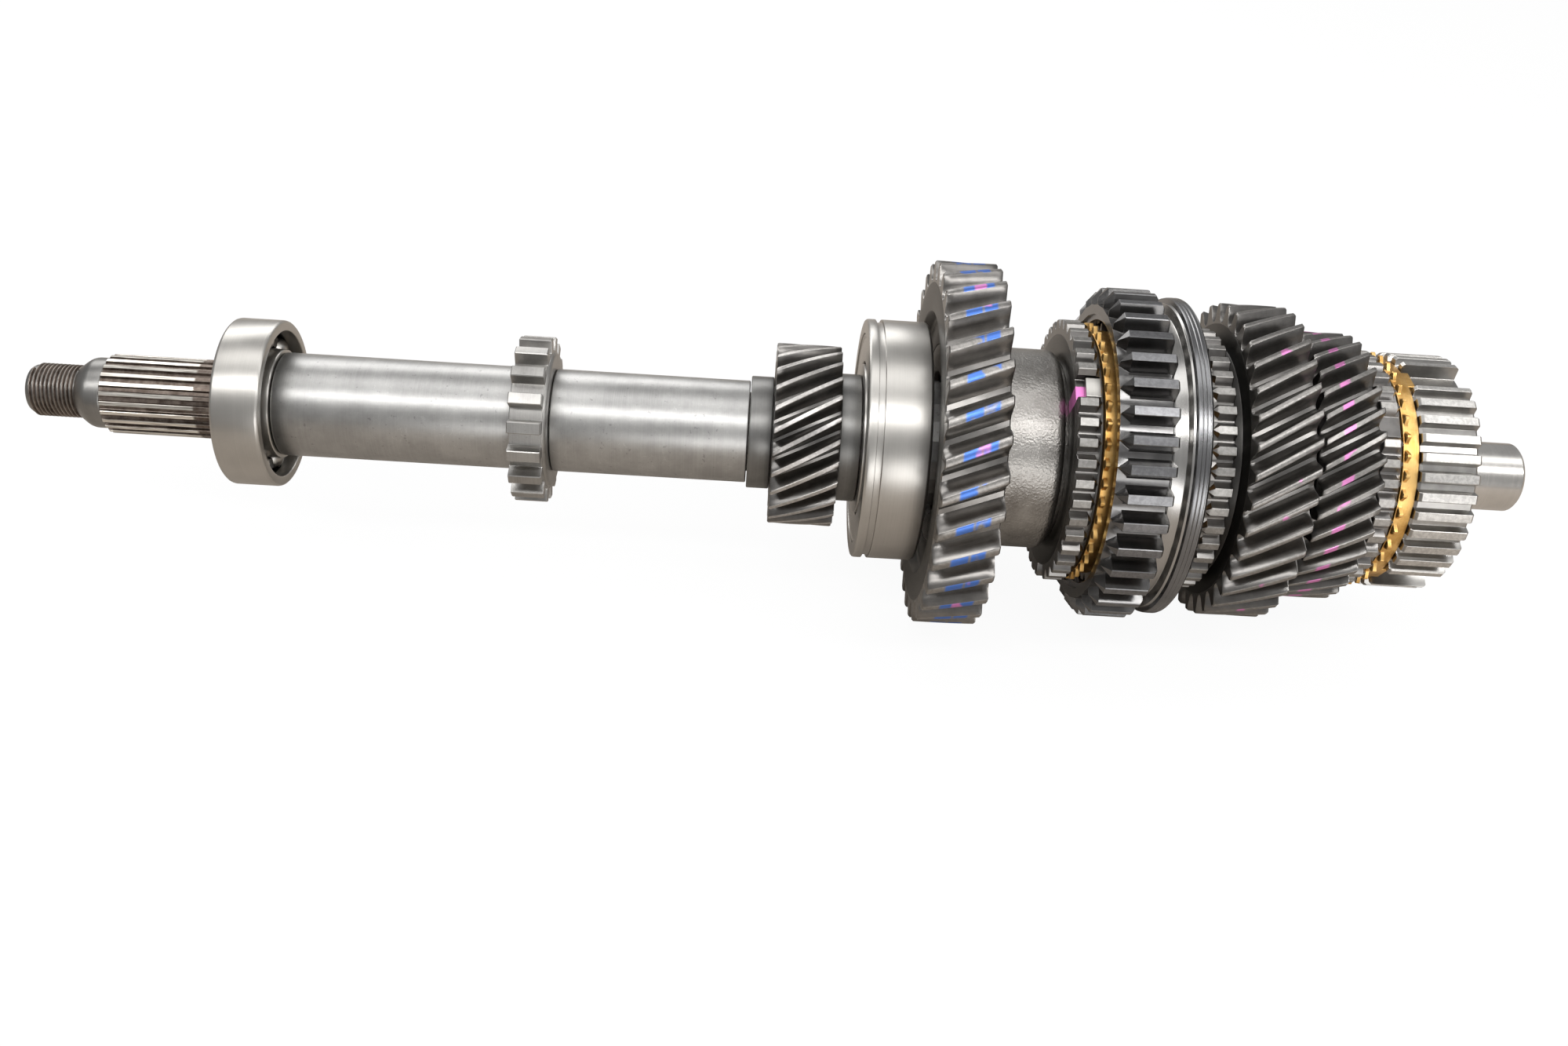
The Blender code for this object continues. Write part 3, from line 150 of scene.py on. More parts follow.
def weld():
    """Merge points that lie together and turn every face outwards."""
    bpy.ops.mesh.select_all(action="SELECT")
    bpy.ops.mesh.remove_doubles(threshold=WELD)
    bpy.ops.mesh.normals_make_consistent(inside=False)


def done(piece, smooth=30.0):
    """Leave edit mode, put the place into the mesh and shade the piece smooth up to an angle."""
    take(piece)
    bpy.ops.object.transform_apply(location=True, rotation=True, scale=True)
    bpy.ops.object.shade_smooth_by_angle(angle=math.radians(smooth))
    return piece


def apply(piece, kind, **settings):
    """Add a modifier with these settings and apply it."""
    take(piece)
    step = piece.modifiers.new("step", kind)
    for name, value in settings.items():
        setattr(step, name, value)
    bpy.ops.object.modifier_apply(modifier=step.name)


def left_of(node):
    """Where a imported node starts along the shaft."""
    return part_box(node)[0].x


# %% [markdown]
# ## The lathe
#
# Shafts, sleeves and bearing rings are all turned parts. Half of the section is drawn, its corners are
# rounded with a vertex bevel, and the line is spun round the shaft. A cylinder primitive would give the same
# form without the rounded edges, and those edges are what catches the light.

# %% Lathe
AROUND = 128
NEAR = 0.000005


def turn(name, start, outline):
    """Turn a section about the shaft.

    Each corner is (x, radius, rounding) in mm, with x counted from the start.
    """
    places = [Vector((start + x * MM, 0, radius * MM)) for x, radius, _ in outline]
    loop = all(radius > 0 for _, radius, _ in outline)
    piece = draw(name, places + places[:1] if loop else places)
    bpy.ops.mesh.select_all(action="SELECT")
    bpy.ops.mesh.remove_doubles(threshold=WELD)
    for rounding in sorted({corner[2] for corner in outline if corner[2] > 0}):
        wanted = [spot for spot, corner in zip(places, outline) if corner[2] == rounding]
        pick(piece, lambda co: any((co - spot).length < NEAR for spot in wanted))
        bpy.ops.mesh.bevel(
            offset=rounding * MM, offset_type="OFFSET", segments=3, affect="VERTICES", clamp_overlap=True,
        )
    bpy.ops.mesh.select_all(action="SELECT")
    bpy.ops.mesh.spin(steps=AROUND, angle=2 * math.pi, center=(0, 0, 0), axis=(1, 0, 0))
    weld()
    return done(piece)


# %% [markdown]
# ## Teeth
#
# A gear could be drawn as one long zigzag, but all its teeth are alike. So one tooth is modelled at the top,
# with its piece of rim: its outline is drawn, pulled along the shaft, chamfered or pointed at its ends, and
# closed towards the middle. The spin operator then sets copies round the shaft, and a Twist makes a straight
# gear helical.

# %% One tooth, and its copies
ABOVE_ROOT = 1.004


def tooth_outline(count, x, profile):
    """The outline of one tooth at the top. The profile is half of it: (radius mm, share of a pitch)."""
    pitch = 2 * math.pi / count
    half = [(radius * MM, share * pitch) for radius, share in profile]
    whole = [(radius, -angle) for radius, angle in reversed(half) if angle > 0] + half
    return [Vector((x, radius * math.sin(angle), radius * math.cos(angle))) for radius, angle in whole]


def push(along, grow=1.0):
    """Extrude the selected edges along the shaft and scale them about it."""
    bpy.ops.mesh.extrude_edges_move(TRANSFORM_OT_translate={"value": (along * MM, 0, 0)})
    bpy.ops.transform.resize(value=(1, grow, grow), center_override=(0, 0, 0))


def close_in(piece, count, inner):
    """Extrude the selected end to a straight edge at the inner radius."""
    mesh = bmesh.from_edit_mesh(piece.data)
    reach = max(abs(point.co.y) for point in mesh.verts if point.select)
    bpy.ops.mesh.extrude_edges_move(TRANSFORM_OT_translate={"value": (0, 0, 0)})
    share = inner * MM * math.tan(math.pi / count) / reach
    bpy.ops.transform.resize(value=(1, share, 0), center_override=(0, 0, inner * MM))


def tooth_end(piece, x, side, root):
    """Shape one end of the tooth, outwards from its full part at x."""
    pick(piece, lambda co: abs(co.x - x) < WELD)
    for step, grow, width, height in side:
        push(step, grow)
        x += step * MM
        if width != 1 or height != 1:
            pick(piece, lambda co: abs(co.x - x) < WELD and co.yz.length > root * ABOVE_ROOT)
            bpy.ops.transform.resize(value=(1, width, height), center_override=(0, 0, root))
            pick(piece, lambda co: abs(co.x - x) < WELD)


def toothed(name, count, start, profile, ends, inner, parts=1, twist=0.0, phase=0.0, smooth=25.0):
    """A ring of teeth, closed at the inner radius.

    The ends are (x of the full tooth's left end, left steps, x of its right end, right steps), in mm, and
    each step is (x step, growth, tooth width, tooth height). Phase is the angle of the first tooth, counted
    from the +Y side towards the top, and twist is the turn over the whole width.
    """
    x0, left_steps, x1, right_steps = ends
    root = profile[-1][0] * MM
    piece = draw(name, tooth_outline(count, x0 * MM, profile))
    bpy.ops.mesh.select_all(action="SELECT")
    for _ in range(parts):
        push((x1 - x0) / parts)
    tooth_end(piece, x1 * MM, right_steps, root)
    close_in(piece, count, inner)
    tooth_end(piece, x0 * MM, left_steps, root)
    close_in(piece, count, inner)
    pick(piece, lambda co: abs(co.z - inner * MM) < WELD / 4)
    bpy.ops.mesh.bridge_edge_loops()
    bpy.ops.mesh.select_all(action="SELECT")
    bpy.ops.mesh.spin(
        dupli=True, steps=count - 1, angle=2 * math.pi * (count - 1) / count, center=(0, 0, 0),
        axis=(1, 0, 0),
    )
    weld()
    bpy.ops.object.mode_set(mode="OBJECT")
    if twist:
        apply(piece, "SIMPLE_DEFORM", deform_method="TWIST", deform_axis="X", angle=twist)
    piece.rotation_euler.x = phase - math.pi / 2
    piece.location.x = start
    return done(piece, smooth)


# %% [markdown]
# ## Writing a finish as sums
#
# Steel is never one flat colour. Its colour and gloss change with the radius, along the grinding marks and
# where oil or dirt stays. Such a finish could be wired by hand, but long chains of Math nodes are hard to
# read. So a small class wraps a socket, and a Python sum on it adds the Math nodes. The patterns follow the
# place on the object, so they stay on the steel when a piece moves.

# %% Signals and finishes
class Signal:
    """A number or a colour on its way through a material."""

    def __init__(self, finish, socket):
        self.finish = finish
        self.socket = socket

    def maths(self, operation, *others):
        """Add a Math node on this number."""
        return self.finish.node("ShaderNodeMath", dict(enumerate((self, *others))), operation=operation)

    def __add__(self, other):
        return self.maths("ADD", other)

    def __radd__(self, other):
        return self.maths("ADD", other)

    def __sub__(self, other):
        return self.maths("SUBTRACT", other)

    def __rsub__(self, other):
        return self.finish.node("ShaderNodeMath", {0: other, 1: self}, operation="SUBTRACT")

    def __mul__(self, other):
        return self.maths("MULTIPLY", other)

    def __rmul__(self, other):
        return self.maths("MULTIPLY", other)

    def rise(self, low, high):
        """0 below low, 1 above high, and smooth between them. Swapped ends make it fall."""
        return self.finish.node(
            "ShaderNodeMapRange", {"Value": self, "From Min": low, "From Max": high},
            interpolation_type="SMOOTHSTEP",
        )


class Finish:
    """A material under construction, with the places that metal marks follow."""

    def __init__(self, name):
        self.material = bpy.data.materials.new(name)
        self.material.use_nodes = True
        self.tree = self.material.node_tree
        self.shader = self.tree.nodes["Principled BSDF"]
        self.shader.inputs["Metallic"].default_value = 1.0
        self.place = self.node("ShaderNodeTexCoord", output="Object")
        self.x, self.y, self.z = [
            self.node("ShaderNodeSeparateXYZ", {"Vector": self.place}, output=axis) for axis in "XYZ"
        ]
        self.radius = (self.y * self.y + self.z * self.z).maths("SQRT")
        self.angle = self.y.maths("ARCTAN2", self.z)

    def node(self, kind, values=None, output=0, **settings):
        """Add a node: its settings first, then the values or links of its sockets."""
        made = self.tree.nodes.new(kind)
        for name, value in settings.items():
            setattr(made, name, value)
        for name, value in (values or {}).items():
            if isinstance(value, Signal):
                self.tree.links.new(value.socket, made.inputs[name])
            else:
                made.inputs[name].default_value = value
        return Signal(self, made.outputs[output])

    def vector(self, x, y, z):
        """Three numbers as one place."""
        return self.node("ShaderNodeCombineXYZ", {"X": x, "Y": y, "Z": z})

    def noise(self, vector, scale, detail=3.0, roughness=0.5):
        """Soft noise from 0 to 1."""
        values = {"Vector": vector, "Scale": scale, "Detail": detail, "Roughness": roughness}
        return self.node("ShaderNodeTexNoise", values)

    def rings(self, fine):
        """Turning marks: noise that changes fast along the shaft and with the radius, and slowly round it."""
        slow = self.vector(self.x * fine, self.radius * fine, self.angle.maths("SINE") * 1.5)
        return self.noise(slow, 1.0, 2.0)

    def between(self, low, high, edge):
        """1 between two places along the shaft, with soft edges. All three are in mm."""
        return self.x.rise((low - edge) * MM, (low + edge) * MM) * self.x.rise(
            (high + edge) * MM, (high - edge) * MM)

    def blend(self, mask, low, high):
        """Mix two colours by a mask."""
        if not isinstance(low, Signal):
            low = (*low, 1.0)
        if not isinstance(high, Signal):
            high = (*high, 1.0)
        return self.node(
            "ShaderNodeMix", {0: mask, 6: low, 7: high}, output=2, data_type="RGBA", clamp_factor=True,
        )

    def bump(self, height, depth):
        """Turn a height from 0 to 1 into a bump that is depth metres high."""
        return self.node("ShaderNodeBump", {"Height": height, "Distance": depth, "Strength": 1.0})

    def wear_and_edge_highlight(self, size):
        """1 on sharp edges and 0 on flats: how far a rounded normal leans from the true one. The callers use
        it for wear and for a painted edge highlight.
        """
        soft = self.node("ShaderNodeBevel", {"Radius": size}, samples=4)
        true = self.node("ShaderNodeNewGeometry", output="Normal")
        lean = self.node("ShaderNodeVectorMath", {0: soft, 1: true}, output="Value", operation="DOT_PRODUCT")
        return (1 - lean).rise(0.02, 0.16)

    def give(self, colour, roughness, normal):
        """Join the finished signals to the shader."""
        for name, signal in (("Base Color", colour), ("Roughness", roughness), ("Normal", normal)):
            self.tree.links.new(signal.socket, self.shader.inputs[name])
        return self.material


def shade(colour, share):
    """A darker or paler colour."""
    return tuple(min(1.0, part * share) for part in colour)


# %% [markdown]
# ## Turned and ground steel
#
# The spacer tubes are satin steel with cloudy patches and a few long scratches. The bearing rings are ground
# bright, with fine lines round them. One recipe serves both: rings of noise for the turning marks, a slow
# noise for the clouds, and edges a little paler, partly as wear and partly as a painted highlight.

# %% Turned steel
def turned_steel(name, colour, roughness, marks=2500.0, clouds=0.18, speckle=0.0, edge=0.0004, paint=None):
    """Satin or ground steel. The clouds and the speckle darken it, and its edges are paler, as wear and as a
    painted highlight.

    Paint is (colour, x from, x to, lowest angle, highest angle) in mm and degrees.
    """
    steel = Finish(name)
    lines = steel.rings(marks)
    cloud = steel.noise(steel.place, 70.0, 6.0, 0.68)
    grains = steel.noise(steel.place, 600.0, 2.0).rise(0.66, 0.74)
    tone = steel.blend(cloud.rise(0.30, 0.66), shade(colour, 1.0 - clouds * 2.4), colour)
    tone = steel.blend(lines.rise(0.40, 0.75) * 0.25, tone, shade(colour, 1.2))
    tone = steel.blend(grains * speckle, tone, shade(colour, 0.45))
    bent = steel.vector(steel.x + (cloud - 0.5) * 0.008, steel.y, steel.z * 0.25)
    scratch = steel.noise(bent, 420.0, 1.0, 0.4)
    scratch = scratch.rise(0.49, 0.498) * scratch.rise(0.507, 0.499) * cloud.rise(0.46, 0.56)
    tone = steel.blend(scratch * speckle * 0.5, tone, shade(colour, 1.7))
    # Paler edges: partly wear, partly a painted highlight where a chamfer would catch the light.
    tone = steel.blend(steel.wear_and_edge_highlight(edge) * 0.4, tone, (0.70, 0.69, 0.67))
    gloss = roughness + (cloud - 0.5) * clouds * 0.7 + (lines - 0.5) * 0.05
    if paint:
        paint_colour, left, right, low, high = paint
        ragged = (cloud - 0.5) * 0.06
        along = steel.x.rise(left * MM, (left + 0.3) * MM) * steel.x.rise(right * MM, (right - 0.3) * MM)
        turned = steel.angle + ragged
        around = turned.rise(math.radians(low), math.radians(low + 0.6))
        around = around * turned.rise(math.radians(high), math.radians(high - 0.6))
        tone = steel.blend(along * around, tone, paint_colour)
        gloss = gloss + along * around * 0.2
    return steel.give(tone, gloss, steel.bump(lines, 0.0000006))


# %% [markdown]
# ## Hardened teeth
#
# Gear teeth are dark and oily on their flanks. Their tips are ground, so they are paler and speckled, and
# some carry a dab of marking paint. Painting each tooth by hand is slow. A mask on the radius finds every tip
# at once, because the shaft's axis is the X axis of the scene.

# %% Gear steel
def gear_steel(name, tip, paints=(), flank=(0.24, 0.23, 0.22), top=(0.36, 0.345, 0.33), gloss=0.30):
    """Dark flanks and pale tips. The tip radius is in mm.

    Each paint is (colour, x from, x to, level): x is in mm from the middle of the shaft, and a higher level
    leaves fewer teeth painted.
    """
    steel = Finish(name)
    lengthways = steel.vector(steel.x * 120.0, steel.radius * 5200.0, steel.angle * 3.0)
    streaks = steel.noise(lengthways, 1.0, 3.0, 0.6)
    cloud = steel.noise(steel.place, 160.0, 4.0, 0.6)
    tone = steel.blend(cloud.rise(0.30, 0.72), shade(flank, 0.86), shade(flank, 1.12))
    tone = steel.blend(streaks.rise(0.50, 0.80) * 0.4, tone, shade(flank, 1.6))
    grains = steel.noise(steel.place, 700.0, 3.0, 0.7)
    on_tip = steel.radius.rise((tip - 0.30) * MM, (tip - 0.12) * MM)
    tip_tone = steel.blend(grains.rise(0.38, 0.62), shade(top, 0.78), top)
    tone = steel.blend(on_tip, tone, tip_tone)
    # Paler edges: partly wear, partly a painted highlight where a chamfer would catch the light.
    edges = steel.wear_and_edge_highlight(0.0002)
    tone = steel.blend(edges * (0.25 + 0.5 * cloud), tone, (0.62, 0.60, 0.57))
    for colour, low, high, level in paints:
        patch = steel.noise(steel.place, 85.0, 2.0).rise(level, level + 0.06)
        painted = on_tip * steel.between(low, high, 0.5) * patch
        tone = steel.blend(painted * (0.75 + 0.25 * grains), tone, colour)
    roughness = gloss + (cloud - 0.5) * 0.08 + on_tip * 0.10
    return steel.give(tone, roughness, steel.bump(streaks, 0.000004))


# %% [markdown]
# ## Brass, blasted steel and thread
#
# The synchro rings are brass, golden where they were turned and brown in patches. The first gear's neck
# was shot blasted, which leaves a skin like orange peel. A bump does that, because the dents are smaller than
# a tenth of a millimetre. The thread and the splines' sides keep a brown-black oxide.

# %% Brass, blasted steel and oxide
def brass(name):
    """Turned brass with brown patches."""
    metal = Finish(name)
    lines = metal.rings(2200.0)
    cloud = metal.noise(metal.place, 120.0, 5.0, 0.65)
    tone = metal.blend(cloud.rise(0.34, 0.64), (0.60, 0.33, 0.09), (0.84, 0.54, 0.20))
    tone = metal.blend(lines.rise(0.45, 0.80) * 0.25, tone, (0.93, 0.68, 0.33))
    # Paler edges on the brass: partly wear, partly a painted highlight.
    tone = metal.blend(metal.wear_and_edge_highlight(0.0003) * 0.5, tone, (0.97, 0.78, 0.44))
    return metal.give(tone, 0.34 + cloud * 0.10, metal.bump(lines, 0.000002))


def blasted_steel(name):
    """Shot-blasted forging skin."""
    steel = Finish(name)
    peel = steel.noise(steel.place, 1100.0, 2.0, 0.5)
    stain = steel.noise(steel.place, 55.0, 5.0, 0.62)
    tone = steel.blend(stain.rise(0.30, 0.70), (0.20, 0.188, 0.175), (0.36, 0.345, 0.325))
    tone = steel.blend(peel.rise(0.55, 0.80) * 0.4, tone, (0.52, 0.50, 0.475))
    return steel.give(tone, 0.30 + stain * 0.12, steel.bump(peel, 0.0002))


def oxide_steel(name, land=None, end=0.0):
    """Brown-black oxide. A land radius in mm leaves everything above it ground bright, up to x = end."""
    steel = Finish(name)
    cloud = steel.noise(steel.place, 260.0, 5.0, 0.65)
    lines = steel.rings(2600.0)
    tone = steel.blend(cloud.rise(0.30, 0.72), (0.085, 0.064, 0.052), (0.235, 0.195, 0.168))
    roughness = 0.38 + cloud * 0.15
    if land:
        bright = steel.radius.rise((land - 0.30) * MM, (land - 0.18) * MM)
        bright = bright * steel.x.rise((end + 0.6) * MM, (end - 0.6) * MM)
        along = steel.noise(steel.vector(steel.x * 90.0, steel.angle * 60.0, 0.0), 1.0, 3.0).rise(0.35, 0.60)
        tone = steel.blend(bright * (0.25 + 0.75 * along), tone, (0.86, 0.83, 0.76))
        roughness = roughness - bright * 0.14
    # Paler edges: partly wear, partly a painted highlight.
    tone = steel.blend(steel.wear_and_edge_highlight(0.0003) * 0.6, tone, (0.55, 0.52, 0.48))
    return steel.give(tone, roughness, steel.bump(lines, 0.000003))


TUBE = turned_steel("satin tube steel", (0.40, 0.395, 0.385), 0.38, clouds=0.09, speckle=0.5)
COLLAR = turned_steel("dark collar steel", (0.19, 0.187, 0.18), 0.38, clouds=0.08, speckle=0.2)
SENSOR_STEEL = turned_steel("sensor ring steel", (0.36, 0.35, 0.335), 0.38, clouds=0.12, speckle=0.3)
GROUND = turned_steel(
    "ground bearing steel", (0.44, 0.425, 0.40), 0.33, marks=3600.0, clouds=0.03, edge=0.0002,
)
JOURNAL = turned_steel("ground journal steel", (0.62, 0.60, 0.57), 0.25, marks=1800.0, clouds=0.05)
NECK = turned_steel("satin neck steel", (0.24, 0.235, 0.225), 0.36, clouds=0.10)
CAGE = turned_steel("pressed cage steel", (0.14, 0.135, 0.13), 0.42)
THREAD = oxide_steel("oxide thread")
SPLINE = oxide_steel("spline steel", land=14.7, end=-216.0)
BRASS = brass("synchro brass")
BLASTED = blasted_steel("blasted neck steel")
print(len(bpy.data.materials), "finishes so far")


def dress(piece, finish, body, slot, *nodes):
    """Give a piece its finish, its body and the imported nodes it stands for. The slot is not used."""
    piece.data.materials.clear()
    piece.data.materials.append(finish)
    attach(piece, body)
    if nodes:
        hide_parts(*nodes)
    print(piece.name, len(piece.data.polygons), "faces")
    return piece


# %% [markdown]
# ## The shaft
#
# The shaft is one forging: a threaded end for the flange nut, a plain neck, the output splines, journals that
# step up to a thrust flange, and a pilot at the far end. All of it but the thread and the splines is turned.
# Places along it are counted in mm from the threaded end. Each journal starts a small step before its part.

# %% Shaft forging
shaft_start = left_of("main_shaft")


def row(x):
    """A place along the shaft in mm, counted from the threaded end."""
    return (x - shaft_start) / MM


def at(place):
    """A place in the scene from mm along the shaft."""
    return shaft_start + place * MM


S_FIFTH = row(left_of("fifth_gear"))
S_CENTRE = row(left_of("centre_bearing_inner_ring"))
S_HUB = row(left_of("hub_1_2"))
S_SECOND = row(left_of("second_gear"))
S_FRONT_HUB = row(left_of("hub_3_4"))
S_SNAP = row(left_of("hub_snap_ring"))
S_END = row(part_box("main_shaft")[1].x)
S_SPLINE = 29.1
S_BEARING = 75.3
S_FLANGE = 463.4
STEP = 0.3

shaft = turn("shaft_forging", shaft_start, [
    (4.5, 0.0, 0), (0.0, 3.2, 0.2), (0.0, 8.3, 0.3), (1.3, 9.1, 0.2), (18.2, 9.1, 0.3), (18.7, 10.0, 0.2),
    (20.2, 11.2, 0.8), (22.9, 13.1, 1.4), (28.7, 13.1, 0.6), (S_SPLINE, 12.6, 0.1), (74.7, 12.6, 0.1),
    (S_BEARING - STEP, 13.1, 0.1), (S_BEARING - STEP, 14.9, 0.3), (S_FIFTH - STEP, 14.9, 0.2),
    (S_FIFTH - STEP, 17.5, 0.3), (S_CENTRE - STEP, 17.5, 0.2), (S_CENTRE - STEP, 19.7, 0.3),
    (S_HUB, 19.7, 0.2), (S_HUB, 21.5, 0.2),
    (S_SECOND, 21.5, 0.2), (S_SECOND, 24.0, 0.3), (S_FLANGE, 24.0, 0.3),
    (S_FLANGE, 30.0, 0.5), (S_FLANGE + 3.6, 30.0, 0.5), (S_FLANGE + 3.6, 22.0, 0.3),
    (S_FRONT_HUB - STEP, 22.0, 0.2), (S_FRONT_HUB - STEP, 19.0, 0.2), (S_SNAP - STEP, 19.0, 0.2),
    (S_SNAP - STEP, 17.0, 0.2), (S_SNAP + 2.3, 17.0, 0.2), (S_SNAP + 2.3, 13.0, 0.3),
    (S_END - 1.2, 13.0, 0.4), (S_END, 11.8, 0.2), (S_END, 3.2, 0.2), (S_END - 4.5, 0.0, 0),
])
dress(shaft, JOURNAL, "shaft", "satin_steel", "main_shaft")
shaft.data.materials.append(NECK)
for face in shaft.data.polygons:
    if face.center.x < at(S_SPLINE):
        face.material_index = 1

# %% [markdown]
# A thread is a ridge that climbs round the core. The Screw modifier does exactly that to a small triangle. A
# bump would be quicker, but the thread's outline shows against the background.

# %% Thread
PITCH_MM = 1.5
TURNS = 11
RIDGE = ((1.2, 8.9), (1.75, 9.85), (2.05, 9.85), (2.65, 8.9), (1.2, 8.9))
ridge = draw("thread_ridge", [Vector((at(x), 0, radius * MM)) for x, radius in RIDGE])
bpy.ops.mesh.select_all(action="SELECT")
bpy.ops.mesh.remove_doubles(threshold=WELD)
bpy.ops.object.mode_set(mode="OBJECT")
apply(ridge, "SCREW", axis="X", angle=2 * math.pi, screw_offset=PITCH_MM * MM, iterations=TURNS, steps=72)
bpy.ops.object.mode_set(mode="EDIT")
bpy.ops.mesh.select_all(action="DESELECT")
bpy.ops.mesh.select_non_manifold()
bpy.ops.mesh.edge_face_add()
weld()
done(ridge)
dress(ridge, THREAD, "shaft", "satin_steel")

# %% [markdown]
# The output splines are straight teeth. They are cut as one tooth and copied round, because the light catches
# every land on its own. The lands end in a dark run-out before the bearing.

# %% Output splines
splines = toothed(
    "output_spline_teeth", 25, at(S_SPLINE),
    [(14.7, 0), (14.7, 0.17), (14.6, 0.20), (13.5, 0.27), (13.3, 0.33), (13.3, 0.5)],
    (0.5, [(-0.5, 1, 0.9, 0.35)], 45.4, []), inner=12.0, phase=math.radians(2.2),
)
dress(splines, SPLINE, "shaft", "satin_steel")

# %% [markdown]
# ## Rear ball bearing
#
# The rear bearing carries the shaft's output end, and its right side is open, so the balls show. Each ring is
# turned with its ball groove. A ball starts as a cube that is subdivided and cast to a sphere, so it has no
# poles, and copies of it are set round the shaft.

# %% Rear ball bearing
REAR_WIDE = 17.3
BALLS = 9
BALL_RADIUS = 4.7
BALL_CIRCLE = 23.75
BALL_PHASE = 65.0
outer = turn("rear_outer_ring", at(S_BEARING), [
    (0.0, 27.2, 0.4), (0.0, 31.0, 1.3), (REAR_WIDE, 31.0, 1.3), (REAR_WIDE, 27.2, 0.4), (12.2, 27.2, 0.1),
    (10.6, 28.3, 0.4), (6.7, 28.3, 0.4), (5.1, 27.2, 0.1),
])
dress(outer, GROUND, "rear_bearing_outer", "ground_steel", "rear_bearing_outer_ring")
inner = turn("rear_inner_ring", at(S_BEARING), [
    (0.0, 15.0, 0.4), (REAR_WIDE, 15.0, 0.5), (REAR_WIDE, 20.3, 0.5), (12.2, 20.3, 0.1), (10.6, 19.2, 0.4),
    (6.7, 19.2, 0.4), (5.1, 20.3, 0.1), (0.0, 20.3, 0.4),
])
dress(inner, GROUND, "shaft", "ground_steel", "rear_bearing_inner_ring")

fresh()
bpy.ops.mesh.primitive_cube_add(size=2 * BALL_RADIUS * MM, location=(0, 0, 0))
balls = bpy.context.object
balls.name = balls.data.name = "rear_balls"
apply(balls, "SUBSURF", levels=3)
apply(balls, "CAST", factor=1.0, radius=BALL_RADIUS * MM, size=BALL_RADIUS * MM)
balls.location = (at(S_BEARING + REAR_WIDE / 2), 0, BALL_CIRCLE * MM)
bpy.ops.object.transform_apply(location=True, rotation=True, scale=True)
bpy.ops.object.mode_set(mode="EDIT")
bpy.ops.mesh.select_all(action="SELECT")
bpy.ops.mesh.spin(
    dupli=True, steps=BALLS - 1, angle=2 * math.pi * (BALLS - 1) / BALLS, center=(0, 0, 0), axis=(1, 0, 0),
)
bpy.ops.object.mode_set(mode="OBJECT")
balls.rotation_euler.x = math.radians(BALL_PHASE - 90.0)
done(balls, 60.0)
packed_balls = [f"rear_bearing_ball_{i + 1}" for i in range(BALLS)]
dress(balls, GROUND, "rear_bearing_rolling", "ground_steel", *packed_balls)

# %% [markdown]
# ## Spacers and the speed sensor ring
#
# Plain tubes keep the parts on the shaft apart. The ring between the two long tubes has coarse straight teeth
# that pass a speed sensor. Its teeth are one ring, and its hub is turned and stands a hair proud of them.

# %% Spacers
def tube(name, start, end, radius, bore, finish, node):
    """A plain spacer tube with rounded edges. Sizes are in mm."""
    wide = end - start
    piece = turn(name, at(start), [
        (0.0, bore, 0.2), (0.0, radius, 0.5), (wide, radius, 0.5), (wide, bore, 0.2),
    ])
    dress(piece, finish, "shaft", "satin_steel", node)


SHAFT_BORE = 15.1
tube("rear_sleeve_tube", 93.0, 180.0, 19.2, SHAFT_BORE, TUBE, "rear_spacer_sleeve")
tube("front_sleeve_tube", 193.8, 266.3, 19.2, SHAFT_BORE, TUBE, "front_spacer_sleeve")
tube("collar_tube", 266.6, 275.1, 21.1, SHAFT_BORE, COLLAR, "spacer_collar")
tube("thrust_spacer_tube", 299.7, 307.5, 24.0, 17.7, COLLAR, "thrust_spacer")

sensor = toothed(
    "sensor_teeth", 18, at(180.3),
    [(31.0, 0), (31.0, 0.17), (30.75, 0.20), (26.6, 0.235), (26.2, 0.26), (26.2, 0.5)],
    (0.3, [(-0.3, 0.992, 1, 1)], 11.7, [(0.3, 0.992, 1, 1)]), inner=20.0, phase=math.radians(131.9),
)
dress(sensor, SENSOR_STEEL, "shaft", "satin_steel", "speed_sensor_ring")
boss = turn("sensor_hub", at(180.2), [
    (0.0, SHAFT_BORE, 0.3), (0.0, 25.4, 0.4), (12.2, 25.4, 0.1), (13.3, 24.6, 0.4), (13.3, SHAFT_BORE, 0.3),
])
dress(boss, SENSOR_STEEL, "shaft", "satin_steel")

# %% [markdown]
# ## Helical gears
#
# The gears share one recipe: a ring of teeth with chamfered ends, twisted to its helix, and a turned body
# inside it. Their widths, tooth counts and helix angles are read from the photograph. The paint dabs on the
# tips differ from gear to gear.

# %% Helical gears
BLUE = (0.07, 0.20, 0.66)
PINK = (0.78, 0.26, 0.60)
MIDDLE = 279.5
HELIX_PARTS = 10


def gear_ring(name, finish, body, node, count, start, wide, radius, depth, helix, phase, inner):
    """The toothed ring of a helical gear. Sizes are in mm, helix and phase in degrees."""
    root = radius - depth
    flank = [
        (radius, 0), (radius, 0.09), (radius - 0.25, 0.125), (radius - depth * 0.5, 0.235),
        (root + 1.0, 0.32), (root, 0.42), (root, 0.5),
    ]
    ring = toothed(
        name, count, at(start), flank,
        (0.5, [(-0.5, 0.992, 0.97, 1)], wide - 0.5, [(0.5, 0.992, 0.97, 1)]), inner,
        parts=HELIX_PARTS, twist=-wide * math.tan(math.radians(helix)) / radius,
        phase=math.radians(phase), smooth=40.0,
    )
    dress(ring, finish, body, "gear_steel", node)


def dab(colour, start, end, level):
    """A paint dab between two places in mm from the threaded end, for gear_steel."""
    return colour, start - MIDDLE, end - MIDDLE, level


